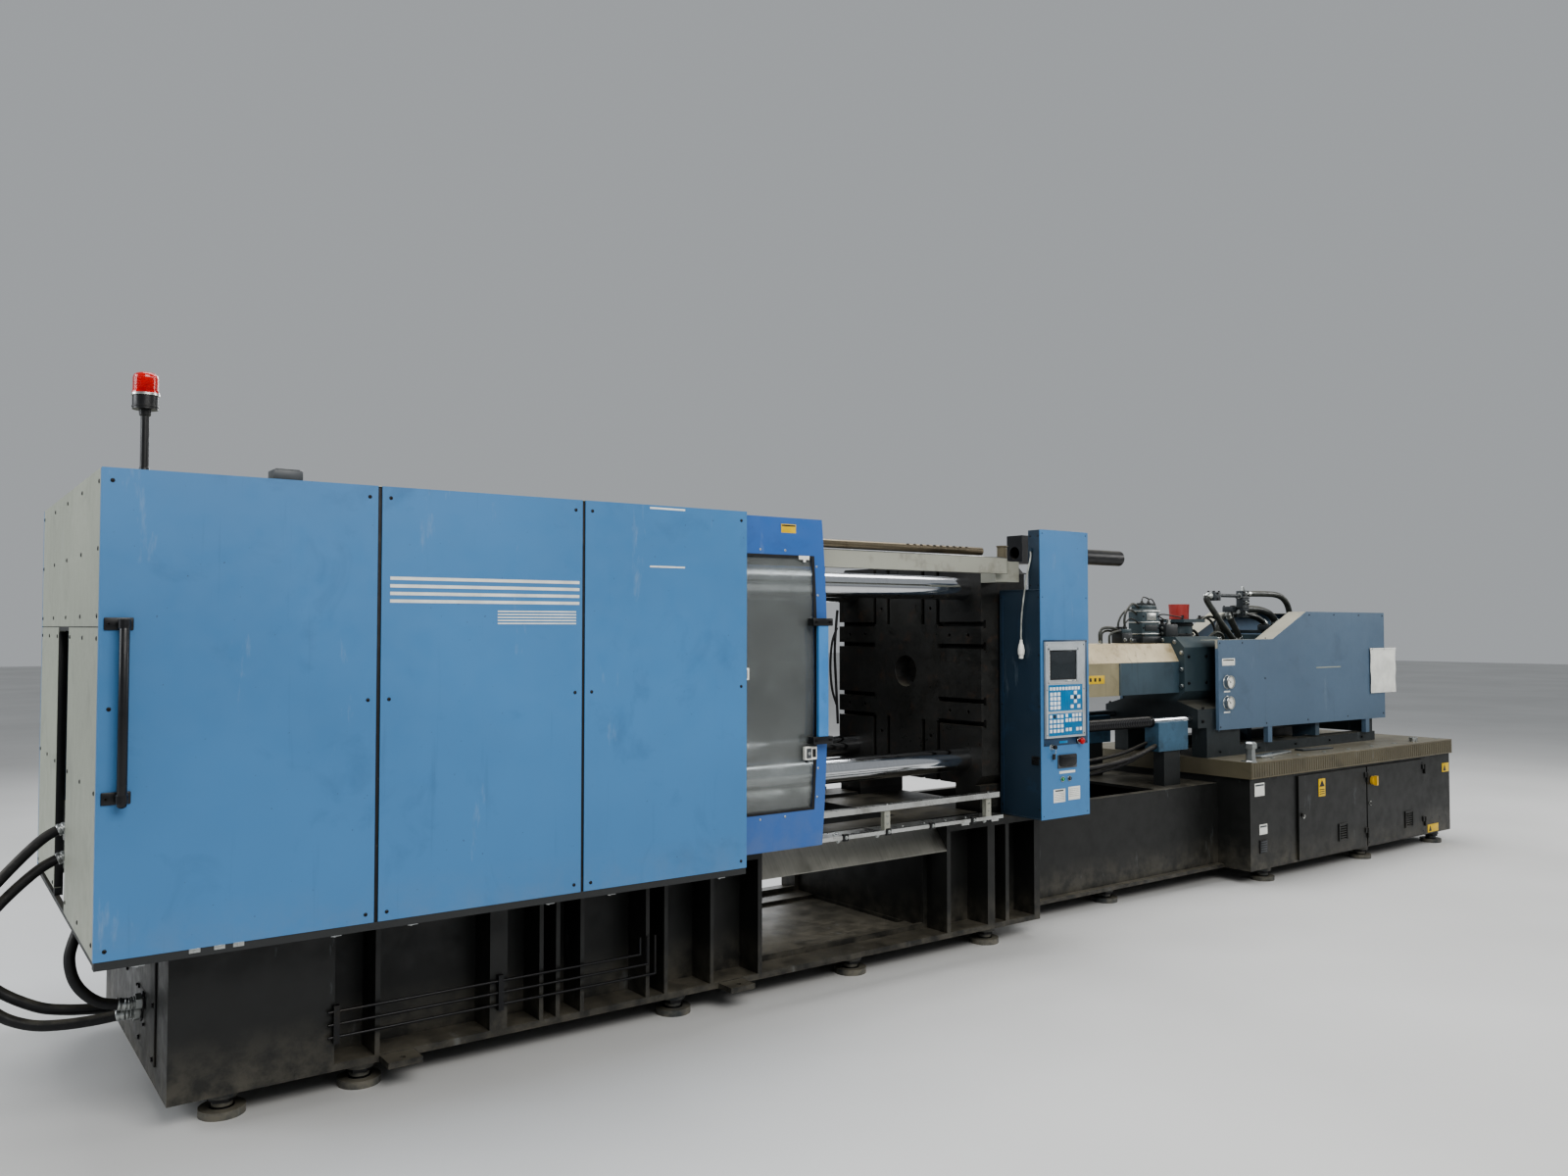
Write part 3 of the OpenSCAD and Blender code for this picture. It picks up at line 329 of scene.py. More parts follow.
class Piece:
    def __init__(self, name, body, slot, mats, angle=35.0):
        self.name, self.body, self.slotname = name, body, slot
        self.mats = mats if isinstance(mats, (list, tuple)) else [mats]
        self.bm = bmesh.new()
        self.angle = angle

    def _set(self, faces, m):
        for f in faces:
            f.material_index = m
            f.smooth = True

    def box(self, x0, x1, y0, y1, z0, z1, r=0.0, m=0, seg=2, rot=None, at=None):
        """a block with rounded edges; rot is (axis, degrees) about at, or about its own middle"""
        ret = bmesh.ops.create_cube(self.bm, size=1.0)
        vs = ret["verts"]
        c = Vector(((x0 + x1) / 2, (y0 + y1) / 2, (z0 + z1) / 2))
        for v in vs:
            v.co = Vector((v.co.x * (x1 - x0), v.co.y * (y1 - y0), v.co.z * (z1 - z0))) + c
        faces = set(f for v in vs for f in v.link_faces)
        if r > 0:
            r = min(r, 0.49 * min(abs(x1 - x0), abs(y1 - y0), abs(z1 - z0)))
            edges = list(set(e for v in vs for e in v.link_edges))
            res = bmesh.ops.bevel(self.bm, geom=edges, offset=r, segments=seg, affect="EDGES", profile=0.5)
            vs = list(set(v for f in res["faces"] for v in f.verts) | set(v for v in vs if v.is_valid))
            faces = set(f for v in vs for f in v.link_faces)
        self._set(faces, m)
        if rot is not None:
            mt = Matrix.Rotation(math.radians(rot[1]), 4, rot[0].upper())
            o = Vector(at) if at is not None else c
            bmesh.ops.transform(self.bm, matrix=Matrix.Translation(o) @ mt @ Matrix.Translation(-o), verts=vs)
        return vs

    def lathe(self, origin, axis, profile, n=24, m=0, start=0.0):
        """profile is a list of (distance along axis, radius)"""
        d = AX[axis] if isinstance(axis, str) else Vector(axis).normalized()
        u = d.orthogonal().normalized()
        if abs(d.z) < 0.9:
            u = (Vector((0, 0, 1)) - d * d.z).normalized()
        w = d.cross(u)
        o = Vector(origin)
        rings = []
        for t, r in profile:
            if r < 1e-6:
                rings.append([self.bm.verts.new(o + d * t)])
            else:
                rings.append([self.bm.verts.new(o + d * t + (u * math.cos(start + 2 * math.pi * i / n) + w * math.sin(start + 2 * math.pi * i / n)) * r) for i in range(n)])
        faces = []
        for a, b in zip(rings, rings[1:]):
            if len(a) == 1 and len(b) == 1:
                continue
            for i in range(n):
                j = (i + 1) % n
                if len(a) == 1:
                    faces.append(self.bm.faces.new([a[0], b[j], b[i]]))
                elif len(b) == 1:
                    faces.append(self.bm.faces.new([a[i], a[j], b[0]]))
                else:
                    faces.append(self.bm.faces.new([a[i], a[j], b[j], b[i]]))
        if len(rings[0]) > 1:
            faces.append(self.bm.faces.new(list(reversed(rings[0]))))
        if len(rings[-1]) > 1:
            faces.append(self.bm.faces.new(rings[-1]))
        self._set(faces, m)
        return [v for r in rings for v in r]

    def cyl(self, origin, axis, length, r, ch=1.0, n=24, m=0):
        ch = min(ch, 0.45 * abs(length), 0.6 * r)
        s = 1 if length > 0 else -1
        return self.lathe(origin, axis, [(0, r - ch), (s * ch, r), (length - s * ch, r), (length, r - ch)], n, m)

    def ring(self, origin, axis, length, r, ri, ch=0.6, n=32, m=0):
        """a hollow sleeve"""
        s = 1 if length > 0 else -1
        ch = min(ch, 0.3 * (r - ri), 0.3 * abs(length))
        pr = [(s * ch, r), (length - s * ch, r), (length, r - ch), (length, ri + ch), (length - s * ch, ri), (s * ch, ri), (0, ri + ch), (0, r - ch)]
        d = AX[axis] if isinstance(axis, str) else Vector(axis).normalized()
        u = d.orthogonal().normalized()
        w = d.cross(u)
        o = Vector(origin)
        rings = [[self.bm.verts.new(o + d * t + (u * math.cos(2 * math.pi * i / n) + w * math.sin(2 * math.pi * i / n)) * q) for i in range(n)] for t, q in pr]
        faces = []
        for k in range(len(rings)):
            a, b = rings[k], rings[(k + 1) % len(rings)]
            for i in range(n):
                j = (i + 1) % n
                faces.append(self.bm.faces.new([a[i], a[j], b[j], b[i]]))
        self._set(faces, m)

    def tube(self, pts, r, n=10, m=0, k=4, caps=True, radii=None):
        """a round tube along a smoothed route"""
        p = smooth_route(pts, k) if k > 1 else [Vector(q) for q in pts]
        tang = []
        for i in range(len(p)):
            a, b = p[max(i - 1, 0)], p[min(i + 1, len(p) - 1)]
            tang.append((b - a).normalized())
        u = tang[0].orthogonal().normalized()
        rings = []
        for i, q in enumerate(p):
            t = tang[i]
            u = (u - t * u.dot(t)).normalized()
            w = t.cross(u)
            rr = r if radii is None else radii(i / (len(p) - 1)) * r
            rings.append([self.bm.verts.new(q + (u * math.cos(2 * math.pi * j / n) + w * math.sin(2 * math.pi * j / n)) * rr) for j in range(n)])
        faces = []
        for a, b in zip(rings, rings[1:]):
            for i in range(n):
                j = (i + 1) % n
                faces.append(self.bm.faces.new([a[i], a[j], b[j], b[i]]))
        if caps:
            faces.append(self.bm.faces.new(list(reversed(rings[0]))))
            faces.append(self.bm.faces.new(rings[-1]))
        self._set(faces, m)
        return p

    def prism(self, pts, axis, a, b, r=0.0, m=0, seg=2):
        """an outline drawn out along an axis; pts are the two other coordinates, in x, y, z order"""
        def at(p, t):
            if axis == "x":
                return Vector((t, p[0], p[1]))
            if axis == "y":
                return Vector((p[0], t, p[1]))
            return Vector((p[0], p[1], t))
        lo = [self.bm.verts.new(at(p, a)) for p in pts]
        hi = [self.bm.verts.new(at(p, b)) for p in pts]
        faces = [self.bm.faces.new(lo), self.bm.faces.new(list(reversed(hi)))]
        n = len(pts)
        for i in range(n):
            faces.append(self.bm.faces.new([lo[i], hi[i], hi[(i + 1) % n], lo[(i + 1) % n]]))
        vs = lo + hi
        if r > 0:
            bmesh.ops.recalc_face_normals(self.bm, faces=faces)
            edges = list(set(e for v in vs for e in v.link_edges))
            res = bmesh.ops.bevel(self.bm, geom=edges, offset=r, segments=seg, affect="EDGES", profile=0.5)
            vs = list(set(v for f in res["faces"] for v in f.verts) | set(v for v in vs if v.is_valid))
            faces = set(f for v in vs for f in v.link_faces)
        self._set(faces, m)
        return vs

    def hexbolt(self, p, axis, size, s=1, m=0, washer=True):
        """hexagon head, size is the thread; s the side it stands on"""
        r, h, t = size * 0.9, size * 0.65, 0.0
        if washer:
            self.lathe(p, axis, [(0, size * 1.1), (s * size * 0.16, size * 1.1), (s * size * 0.16, size * 0.7)], 20, m)
            t = size * 0.16
        self.lathe(p, axis, [(s * t, r), (s * (t + h * 0.86), r), (s * (t + h), r * 0.86), (s * (t + h), 0)], 6, m)

    def socket(self, p, axis, size, s=1, m=0, dark=1, h=None):
        """socket head cap screw"""
        r = size * 0.75
        h = size if h is None else h
        self.lathe(p, axis, [(0, r), (s * h * 0.88, r), (s * h, r * 0.88), (s * h, r * 0.56)], 20, m)
        self.lathe(p, axis, [(s * h, r * 0.56), (s * h * 0.45, r * 0.5), (s * h * 0.45, 0)], 6, dark)

    def button(self, p, axis, r, s=1, m=0, dark=1, h=None):
        """flat round head screw with a hexagon recess"""
        h = 0.55 * r if h is None else h
        self.lathe(p, axis, [(0, r), (s * h * 0.45, r * 0.96), (s * h * 0.85, r * 0.7), (s * h, r * 0.42)], 20, m)
        self.lathe(p, axis, [(s * h, r * 0.42), (s * h * 0.4, r * 0.38), (s * h * 0.4, 0)], 6, dark)

    def build(self):
        bm = self.bm
        bmesh.ops.recalc_face_normals(bm, faces=bm.faces)
        bmesh.ops.scale(bm, vec=(S, S, S), verts=bm.verts)
        me = bpy.data.meshes.new(self.name)
        bm.to_mesh(me)
        bm.free()
        for mt in self.mats:
            me.materials.append(mt)
        me.set_sharp_from_angle(angle=math.radians(self.angle))
        ob = bpy.data.objects.new(self.name, me)
        bpy.context.scene.collection.objects.link(ob)
        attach(ob, self.body)
        return ob


ROOT = "machine_frame"

# ---------------------------------------------------------------------------
# the materials of the machine
# ---------------------------------------------------------------------------
PANEL = "#4c7fae"
panel_m = paint("panel_blue", PANEL, 0.34, 0.50, dents=0.22, smudge=0.30, low=0.9, chips=0.55, streak=0.10)
door_m = paint("door_blue", "#3a66a6", 0.30, 0.46, dents=0.18, smudge=0.28, low=1.1, streak=0.10)
handle_m = paint("handle_blue", "#3f6aa8", 0.30, 0.44, dents=0.1, smudge=0.3, low=0.2, streak=0.0)
cover_m = paint("cover_blue", "#566b80", 0.36, 0.52, dents=0.22, smudge=0.30, low=0.3, streak=0.15)
cream_m = paint("end_cream", "#9fa396", 0.40, 0.56, dents=0.2, smudge=0.35, low=1.1, streak=0.18)
guard_m = paint("guard_cream", "#cfccba", 0.40, 0.55, dents=0.15, smudge=0.25, low=0.3, streak=0.12, dust=0.2)
base_m = paint("base_black", "#181918", 0.36, 0.56, dents=0.25, smudge=0.3, low=0.35, dust=0.30, chips=0.3, streak=0.15, vary=0.2, grimy=0.35)
cab_m = paint("cabinet_black", "#161716", 0.34, 0.50, dents=0.2, smudge=0.3, low=0.30, dust=0.25, chips=0.35, streak=0.10, vary=0.15, grimy=0.25)
frame_m = paint("frame_grey", "#2c2e2f", 0.45, 0.62, dents=0.1, smudge=0.3, low=0.5)
tray_m = paint("tray_grey", "#625b49", 0.42, 0.62, dents=0.2, smudge=0.55, low=0.3, dust=0.35, streak=0.35, vary=0.12)
mach_m = paint("machine_slate", "#37464c", 0.36, 0.56, dents=0.12, smudge=0.4, low=0.3, streak=0.2, vary=0.1)
mach_dark_m = paint("machine_dark", "#2b3237", 0.40, 0.60, dents=0.12, smudge=0.4, low=0.3, streak=0.2, vary=0.15)
link_m = paint("link_slate", "#44535e", 0.40, 0.58, dents=0.1, smudge=0.4, low=0.2, streak=0.1)
hyd_m = paint("valve_black", "#23282b", 0.38, 0.58, dents=0.1, smudge=0.4, low=0.2, streak=0.0, peel=0.3)
bracket_m = paint("bracket_blue", "#4f7d9e", 0.38, 0.54, dents=0.1, smudge=0.4, low=0.2, streak=0.1)
# column paint: behind the front face (y above about -1.006 m) the sides take a darker slate tint, painted shade on the
# faces turned away from the light
column_blue_shaded_side_m = paint("column_blue_painted_side_shade", PANEL, 0.34, 0.50, dents=0.15, smudge=0.25, low=0.3, streak=0.08,
                 tint="#293a49", mask=lambda M: M.span(M.xyz(1), -1.0062, -1.0052))
platen_m = cast("platen_iron", "#2c2c2a", oil=0.6)
platen_blue_m = paint("platen_slate", "#37444f", 0.38, 0.58, dents=0.1, smudge=0.5, low=0.3, streak=0.25, vary=0.12)
chrome_m = steel("tie_bar_chrome", "#d9dbde", 0.05, 0.13, 0, 0.10, 0.10)
bright_m = steel("bright_steel", "#aeb0b0", 0.18, 0.36, 0, 0.2, 0.35)
ground_m = steel("ground_steel", "#9b9c9a", 0.22, 0.42, 0, 0.25, 0.45)
zinc_m = steel("zinc_plate", "#b5b8b6", 0.24, 0.40, 2, 0.15, 0.3, fine=200.0)
silver_m = steel("silver_strip", "#c9cac6", 0.22, 0.36, 1, 0.1, 0.25, fine=200.0)
screw_m = steel("screw_steel", "#b8babd", 0.10, 0.22, 0, 0.12, 0.15)
barrel_m = steel("barrel_steel", "#7f786b", 0.28, 0.48, 0, 0.2, 0.5, stain="#5a3f2a")
chute_m = steel("chute_sheet", "#8b8a84", 0.30, 0.5, 0, 0.15, 0.5, fine=120.0)
dark_steel_m = steel("dark_steel", "#3d3d3e", 0.3, 0.5, 0, 0.15, 0.4)
black_m = plastic("black_plastic", "#18191b")
grip_m = plastic("grip_black", "#141518", 0.28, 0.44, grain=0.35)
grey_m = plastic("bezel_grey", "#aab0b4", 0.34, 0.48)
grey_d_m = plastic("dark_grey_plastic", "#4a4e52", 0.34, 0.5)
white_m = plastic("white_plastic", "#e6e6df", 0.34, 0.50, dust=0.15)
label_m = plastic("blank_label", "#dfe0da", 0.40, 0.55, grain=0.08, dust=0.1)
yellow_m = plastic("yellow_label", "#d9b52a", 0.36, 0.5, grain=0.08, dust=0.1)
key_m = plastic("key_white", "#e9ebec", 0.30, 0.42, grain=0.1, scale=1200.0)
key_blue_m = plastic("membrane_blue", "#1f7db2", 0.30, 0.42, grain=0.12, scale=1200.0)
key_dark_m = plastic("key_dark", "#26323c", 0.30, 0.42, grain=0.1, scale=1200.0)
red_m = plastic("stop_red", "#b3141a", 0.24, 0.36, grain=0.1)
cup_m = plastic("cup_red", "#9c3a34", 0.3, 0.5, grain=0.1)
green_m = plastic("start_green", "#1f8a48", 0.24, 0.36, grain=0.1)
switch_m = plastic("switch_yellow", "#c9a33c", 0.3, 0.45)
lens_m = glow("beacon_red", "#c01510", r0=0.08, r1=0.18)
screen_m = plastic("screen_glass", "#2c3236", 0.06, 0.14, grain=0.0, dust=0.05, coat=0.5)
hose_m = rubber("hose_rubber")
cable_m = rubber("cable_rubber", "#1b1b1d", 0.4, 0.56)
window_m = clear("door_window", "#b4b9b8", 0.05, 0.16, 0.10)
next(n for n in window_m.node_tree.nodes if n.type == "BSDF_PRINCIPLED").inputs["Transmission Weight"].default_value = 0.80
glass_m = clear("gauge_glass", "#dfe6e8", 0.02, 0.06, 0.05)
gasket_m = rubber("gasket_rubber", "#101012", 0.5, 0.7)
brass_m = steel("brass", "#b08d4c", 0.22, 0.40, 2, 0.1, 0.4, fine=200.0)

rails_M = Mat("rail_paint_and_steel")
_z = rails_M.xyz(2)
_low = rails_M.math("MULTIPLY", rails_M.span(_z, 0.8894, 0.8904), rails_M.span(_z, 0.930, 0.932, 1.0, 0.0))
_strip = rails_M.span(_z, 0.7862, 0.7868, 1.0, 0.0)
_st = rails_M.math("MAXIMUM", _low, _strip)
_cr = rails_M.mix(rails_M.span(rails_M.noise(1.2, 3, 0.5), 0.35, 0.65), lin("#86867c"), lin("#9e9f95"))
_cr = rails_M.mix(rails_M.span(rails_M.noise(8.0, 6, 0.65), 0.54, 0.70, 0.0, 0.45), _cr, lin("#5d584c"))
_me = rails_M.mix(rails_M.span(rails_M.noise(5.0, 6, 0.65), 0.50, 0.70, 0.0, 0.5), lin("#c3c4c2"), lin("#6b675e"))
rails_M.color(rails_M.mix(_st, _cr, _me)).metal(_st)
rails_M.rough(rails_M.math("SUBTRACT", rails_M.span(rails_M.noise(12.0, 5, 0.6), 0.3, 0.7, 0.42, 0.56), rails_M.math("MULTIPLY", _st, 0.2)))
rails_M.bump(rails_M.noise(300.0, 3, 0.5), 0.12, 0.0004)
rails_m = rails_M.m

NODE_MATS = {
    "clamp_base": base_m, "injection_base": None, "levelling_feet": mach_dark_m, "lube_pipes": dark_steel_m,
    "fixed_platen": platen_m, "tie_bars": chrome_m, "front_panel_left": panel_m, "front_panel_middle": panel_m,
    "front_panel_right": panel_m, "rear_panels": panel_m, "panel_screws": black_m, "guard_frame": frame_m,
    "end_hood": cream_m, "end_panels": cream_m, "grab_handle": grip_m, "beacon_post": black_m,
    "beacon_lens": lens_m, "door_rails": rails_m, "control_column": column_blue_shaded_side_m, "controller_panel": grey_m,
    "safety_tube": black_m, "chute_plate": chute_m, "pump_motor": mach_m, "hose_couplings": zinc_m,
    "hose_upper": hose_m, "hose_lower": hose_m, "hose_inner": hose_m, "pendant_cable": cable_m,
    "pendant_plug": white_m, "guide_rods": None, "front_door": door_m, "front_door_window": window_m,
    "front_door_handle": handle_m, "rear_door": None, "tail_platen": platen_blue_m, "adjusting_nuts": bright_m,
    "clamp_cylinder": mach_m, "moving_platen": platen_blue_m, "safety_bar": dark_steel_m,
    "rear_link_upper": link_m, "rear_link_lower": link_m, "front_link_upper": link_m, "front_link_lower": link_m,
    "crosshead": mach_m, "crosshead_link_upper": link_m, "crosshead_link_lower": link_m, "ejector_plate": bright_m,
    "e_stop": red_m, "start_button": green_m, "stop_button": black_m, "main_switch": switch_m,
    "cabinet_door_left": cab_m, "cabinet_door_right": cab_m, "injection_carriage": mach_m, "barrel": barrel_m,
    "barrel_guard": guard_m, "injection_cover": cover_m, "injection_hydraulics": hyd_m, "screw_drive": mach_m,
    "screw": screw_m,
}

# base of the injection unit: black cabinet; the tray band on top (from 0.765 m up) is paler grey, partly real dust and
# partly painted light
NODE_MATS["injection_base"] = paint(
    "injection_base_paint", "#1b1c1b", 0.36, 0.54, dents=0.2, smudge=0.35, low=0.35, dust=0.35, streak=0.2, vary=0.15, grimy=0.35,
    tint="#5c5747", mask=lambda M: M.span(M.xyz(2), 0.7640, 0.7655))
# rods are chromed, their brackets painted
rods_M = Mat("rods_and_brackets")
_sx = rods_M.math("MULTIPLY", rods_M.span(rods_M.xyz(0), 1.5585, 1.5595), rods_M.span(rods_M.xyz(0), 1.9105, 1.9115, 1.0, 0.0))
_sx = rods_M.math("MULTIPLY", _sx, rods_M.span(rods_M.xyz(2), 1.1725, 1.1735, 1.0, 0.0))
_rb = rods_M.span(rods_M.xyz(0), 3.6590, 3.6598)
_bx = rods_M.math("MAXIMUM", _sx, _rb)
_ped = rods_M.span(rods_M.xyz(2), 0.9645, 0.9655, 1.0, 0.0)
_pc = rods_M.mix(rods_M.span(rods_M.noise(3.0, 5, 0.6), 0.35, 0.65), lin("#2f4a5c"), lin("#3f6178"))
_pc = rods_M.mix(_ped, _pc, lin("#232627"))
_pc = rods_M.mix(_rb, _pc, lin("#3b4c59"))
_pc = rods_M.mix(rods_M.span(rods_M.noise(9.0, 6, 0.65), 0.54, 0.70, 0.0, 0.5), _pc, GRIME)
_rc = rods_M.mix(rods_M.span(rods_M.noise(6.0, 6, 0.6), 0.5, 0.7, 0.0, 0.4), lin("#c4c6c8"), lin("#5c574c"))
rods_M.color(rods_M.mix(_bx, _rc, _pc)).metal(rods_M.math("SUBTRACT", 1.0, _bx))
rods_M.rough(rods_M.math("ADD", rods_M.span(rods_M.noise(9.0, 5, 0.6), 0.3, 0.7, 0.10, 0.22), rods_M.math("MULTIPLY", _bx, 0.32)))
rods_M.bump(rods_M.noise(260.0, 3, 0.5), 0.10, 0.0004)
NODE_MATS["guide_rods"] = rods_M.m
# rear door: painted frame; its opening holds an opaque dark grey sheet, painted shade standing in for the dark space
# behind the mould
rd_M = Mat("rear_door_paint_and_shade_sheet")
_x, _zz = rd_M.xyz(0), rd_M.xyz(2)
_rear_pane_shade_mask = rd_M.math("MULTIPLY", rd_M.span(_x, -2.3853, -2.3847), rd_M.span(_x, -0.5153, -0.5147, 1.0, 0.0))
_rear_pane_shade_mask = rd_M.math("MULTIPLY", _rear_pane_shade_mask, rd_M.math("MULTIPLY", rd_M.span(_zz, 0.9547, 0.9553), rd_M.span(_zz, 2.2177, 2.2183, 1.0, 0.0)))
_pc = rd_M.mix(rd_M.span(rd_M.noise(0.9, 3, 0.5), 0.36, 0.64), lin("#345f9c"), lin("#3f6db0"))
_pc = rd_M.mix(rd_M.span(rd_M.noise(4.0, 7, 0.62), 0.56, 0.72, 0.0, 0.3), _pc, lin("#153a63"))
_gc = rd_M.mix(rd_M.span(rd_M.noise(4.0, 5, 0.6), 0.35, 0.65), lin("#23282a"), lin("#32383b"))
rd_M.color(rd_M.mix(_rear_pane_shade_mask, _pc, _gc))
rd_M.rough(rd_M.math("SUBTRACT", rd_M.span(rd_M.noise(10.0, 5, 0.6), 0.3, 0.7, 0.32, 0.48), rd_M.math("MULTIPLY", _rear_pane_shade_mask, -0.10)))
rd_M.bump(rd_M.noise(1.7, 2, 0.4), 0.15, 0.005)
rd_M.bump(rd_M.noise(420.0, 2, 0.5), 0.10, 0.0004)
NODE_MATS["rear_door"] = rd_M.m

# guard of the barrel: the top is paler and warm as painted light, the side darker as painted shade, both with real
# stains; slate sheet towards the housing
gd_M = Mat("guard_paint")
_gs = gd_M.span(gd_M.xyz(2), 1.6030, 1.6050, 1.0, 0.0)
_gx = gd_M.span(gd_M.xyz(0), 1.3195, 1.3205)
_guard_lit_top = gd_M.mix(gd_M.span(gd_M.noise(2.6, 5, 0.6), 0.36, 0.64), lin("#b5a789"), lin("#cfc2a4"))
_guard_lit_top = gd_M.mix(gd_M.span(gd_M.noise(5.5, 7, 0.68, dist=0.5), 0.52, 0.66, 0.0, 0.55), _guard_lit_top, lin("#7d6a4a"))
_guard_lit_top = gd_M.mix(gd_M.span(gd_M.noise(19.0, 5, 0.65), 0.60, 0.70, 0.0, 0.5), _guard_lit_top, lin("#5b4a33"))
_guard_shaded_side = gd_M.mix(gd_M.span(gd_M.noise(1.8, 4, 0.55), 0.36, 0.64), lin("#7e775c"), lin("#968e72"))
_guard_shaded_side = gd_M.mix(gd_M.span(gd_M.noise(6.0, 7, 0.65, dist=0.6), 0.54, 0.70, 0.0, 0.5), _guard_shaded_side, lin("#4c4532"))
_gn = gd_M.mix(gd_M.span(gd_M.noise(1.8, 4, 0.55), 0.36, 0.64), lin("#33454f"), lin("#40545f"))
_gn = gd_M.mix(gd_M.span(gd_M.noise(6.0, 7, 0.65, dist=0.6), 0.56, 0.72, 0.0, 0.4), _gn, lin("#1d2628"))
_gc = gd_M.mix(_gs, _guard_lit_top, _guard_shaded_side)
_gc = gd_M.mix(gd_M.math("MULTIPLY", _gs, _gx), _gc, _gn)
_dr = gd_M.span(gd_M.noise(26.0, 3, 0.6, vec=gd_M.stretch(1.0, 1.0, 0.045)), 0.62, 0.74, 0.0, 0.35)
gd_M.color(gd_M.mix(_dr, _gc, GRIME))
gd_M.rough(gd_M.span(gd_M.noise(11.0, 5, 0.6), 0.3, 0.7, 0.38, 0.56))
gd_M.bump(gd_M.noise(2.2, 2, 0.4), 0.2, 0.005)
gd_M.bump(gd_M.noise(420.0, 2, 0.5), 0.12, 0.0004)
NODE_MATS["barrel_guard"] = gd_M.m
# cover: the folded upper edges are pale, a painted reflection of the light on their upward faces
cover_fold_painted_reflection_mask = lambda M: M.math("MULTIPLY", M.span(M.math("ABSOLUTE", M.xyz(1)), 0.4458, 0.4466, 1.0, 0.0),
                             M.math("MULTIPLY", M.span(M.xyz(0), 4.719, 4.722, 1.0, 0.0), M.span(M.xyz(2), 1.700, 1.7015)))
NODE_MATS["injection_cover"] = paint("cover_blue_painted_fold_reflection", "#566b80", 0.36, 0.52, dents=0.22, smudge=0.30, low=0.3, streak=0.15,
                                     tint="#aaa798", mask=cover_fold_painted_reflection_mask)
tan_m = steel("ratchet_bar", "#857b69", 0.26, 0.44, 0, 0.2, 0.5, stain="#4a3c28")
NODE_MATS["safety_bar"] = tan_m
pale_cable_m = rubber("pale_cable", "#8e918c", 0.4, 0.56)

NODE_MATS["injection_carriage"] = paint("carriage_slate", "#37464c", 0.36, 0.56, dents=0.12, smudge=0.4, low=0.3, streak=0.25,
                                        vary=0.12, tint="#20282b", mask=lambda M: M.span(M.xyz(2), 1.290, 1.330, 1.0, 0.0))
for _n, _m in NODE_MATS.items():
    for _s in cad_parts[_n].material_slots:
        _s.material = _m

# ---------------------------------------------------------------------------
# cords: the routes are those of part.scad
# ---------------------------------------------------------------------------
ROUTES = {
    "hose_upper": ([(-5140, 0, 1043), (-5170, 0, 1043), (-5225, 0, 1020), (-5290, -8, 967), (-5390, -20, 861),
                    (-5460, -45, 775), (-5500, -75, 680), (-5505, -100, 580), (-5475, -130, 470), (-5389, -160, 363),
                    (-5262, -195, 310), (-5101, -250, 311), (-4995, -286, 326), (-4952, -286, 326)], 21.0, hose_m),
    "hose_lower": ([(-5140, 0, 926), (-5170, 0, 926), (-5225, 0, 904), (-5290, -8, 859), (-5389, -28, 767),
                    (-5445, -45, 690), (-5465, -65, 600), (-5445, -88, 515), (-5388, -110, 442), (-5246, -152, 364),
                    (-5090, -190, 341), (-4995, -212, 336), (-4952, -212, 336)], 21.0, hose_m),
    "hose_inner": ([(-5122, -215, 748), (-5122, -215, 728), (-5128, -221, 698), (-5147, -232, 653), (-5171, -256, 577),
                    (-5161, -282, 498), (-5124, -303, 437), (-5065, -320, 393), (-4987, -328, 376), (-4952, -328, 376)], 21.0, hose_m),
    "pendant_cable": ([(-388, -944, 2310), (-388, -944, 2270), (-397, -922, 2160), (-402, -889, 1960), (-402, -880, 1830),
                       (-402, -880, 1790)], 5.0, pale_cable_m),
}


def cord_curve(name, pts, r, mat, k):
    p = smooth_route(pts, k)
    cu = bpy.data.curves.new(name, "CURVE")
    cu.dimensions = "3D"
    cu.bevel_depth = r * S
    cu.bevel_resolution = 6
    cu.resolution_u = 6
    cu.use_fill_caps = True
    sp = cu.splines.new("BEZIER")
    sp.bezier_points.add(len(p) - 1)
    length = 0.0
    for i, q in enumerate(p):
        a, b = p[max(i - 1, 0)], p[min(i + 1, len(p) - 1)]
        t = (b - a) / 6.0 if 0 < i < len(p) - 1 else (b - a) / 3.0
        if i == 0:
            t = (Vector(pts[1]) - Vector(pts[0])).normalized() * t.length
        if i == len(p) - 1:
            t = (Vector(pts[-1]) - Vector(pts[-2])).normalized() * t.length
        bp = sp.bezier_points[i]
        bp.handle_left_type = bp.handle_right_type = "FREE"
        bp.co = q * S
        bp.handle_left = (q - t) * S
        bp.handle_right = (q + t) * S
    fine = smooth_route(pts, 24)
    length = sum((b - a).length for a, b in zip(fine, fine[1:])) * S
    cu.materials.append(mat)
    ob = bpy.data.objects.new(name, cu)
    bpy.context.scene.collection.objects.link(ob)
    return ob, round(length, 3)


CORDS = {}
for _n, (_pts, _r, _m) in ROUTES.items():
    ob, _len = cord_curve(_n + "_cord", _pts, _r, _m, 3 if _n == "pendant_cable" else 2)
    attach(ob, ROOT)
    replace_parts(ob, _n)
    CORDS[_n] = (ob, _len)

# ---------------------------------------------------------------------------
# side panels, stripes, screws
# ---------------------------------------------------------------------------
PANELS = [(-5180, -4230), (-4214, -3342), (-3328, -2468)]


def screw_pts(a, b):
    return [(x, z) for x in (a + 34, b - 32) for z in (754, 1582, 2375)]


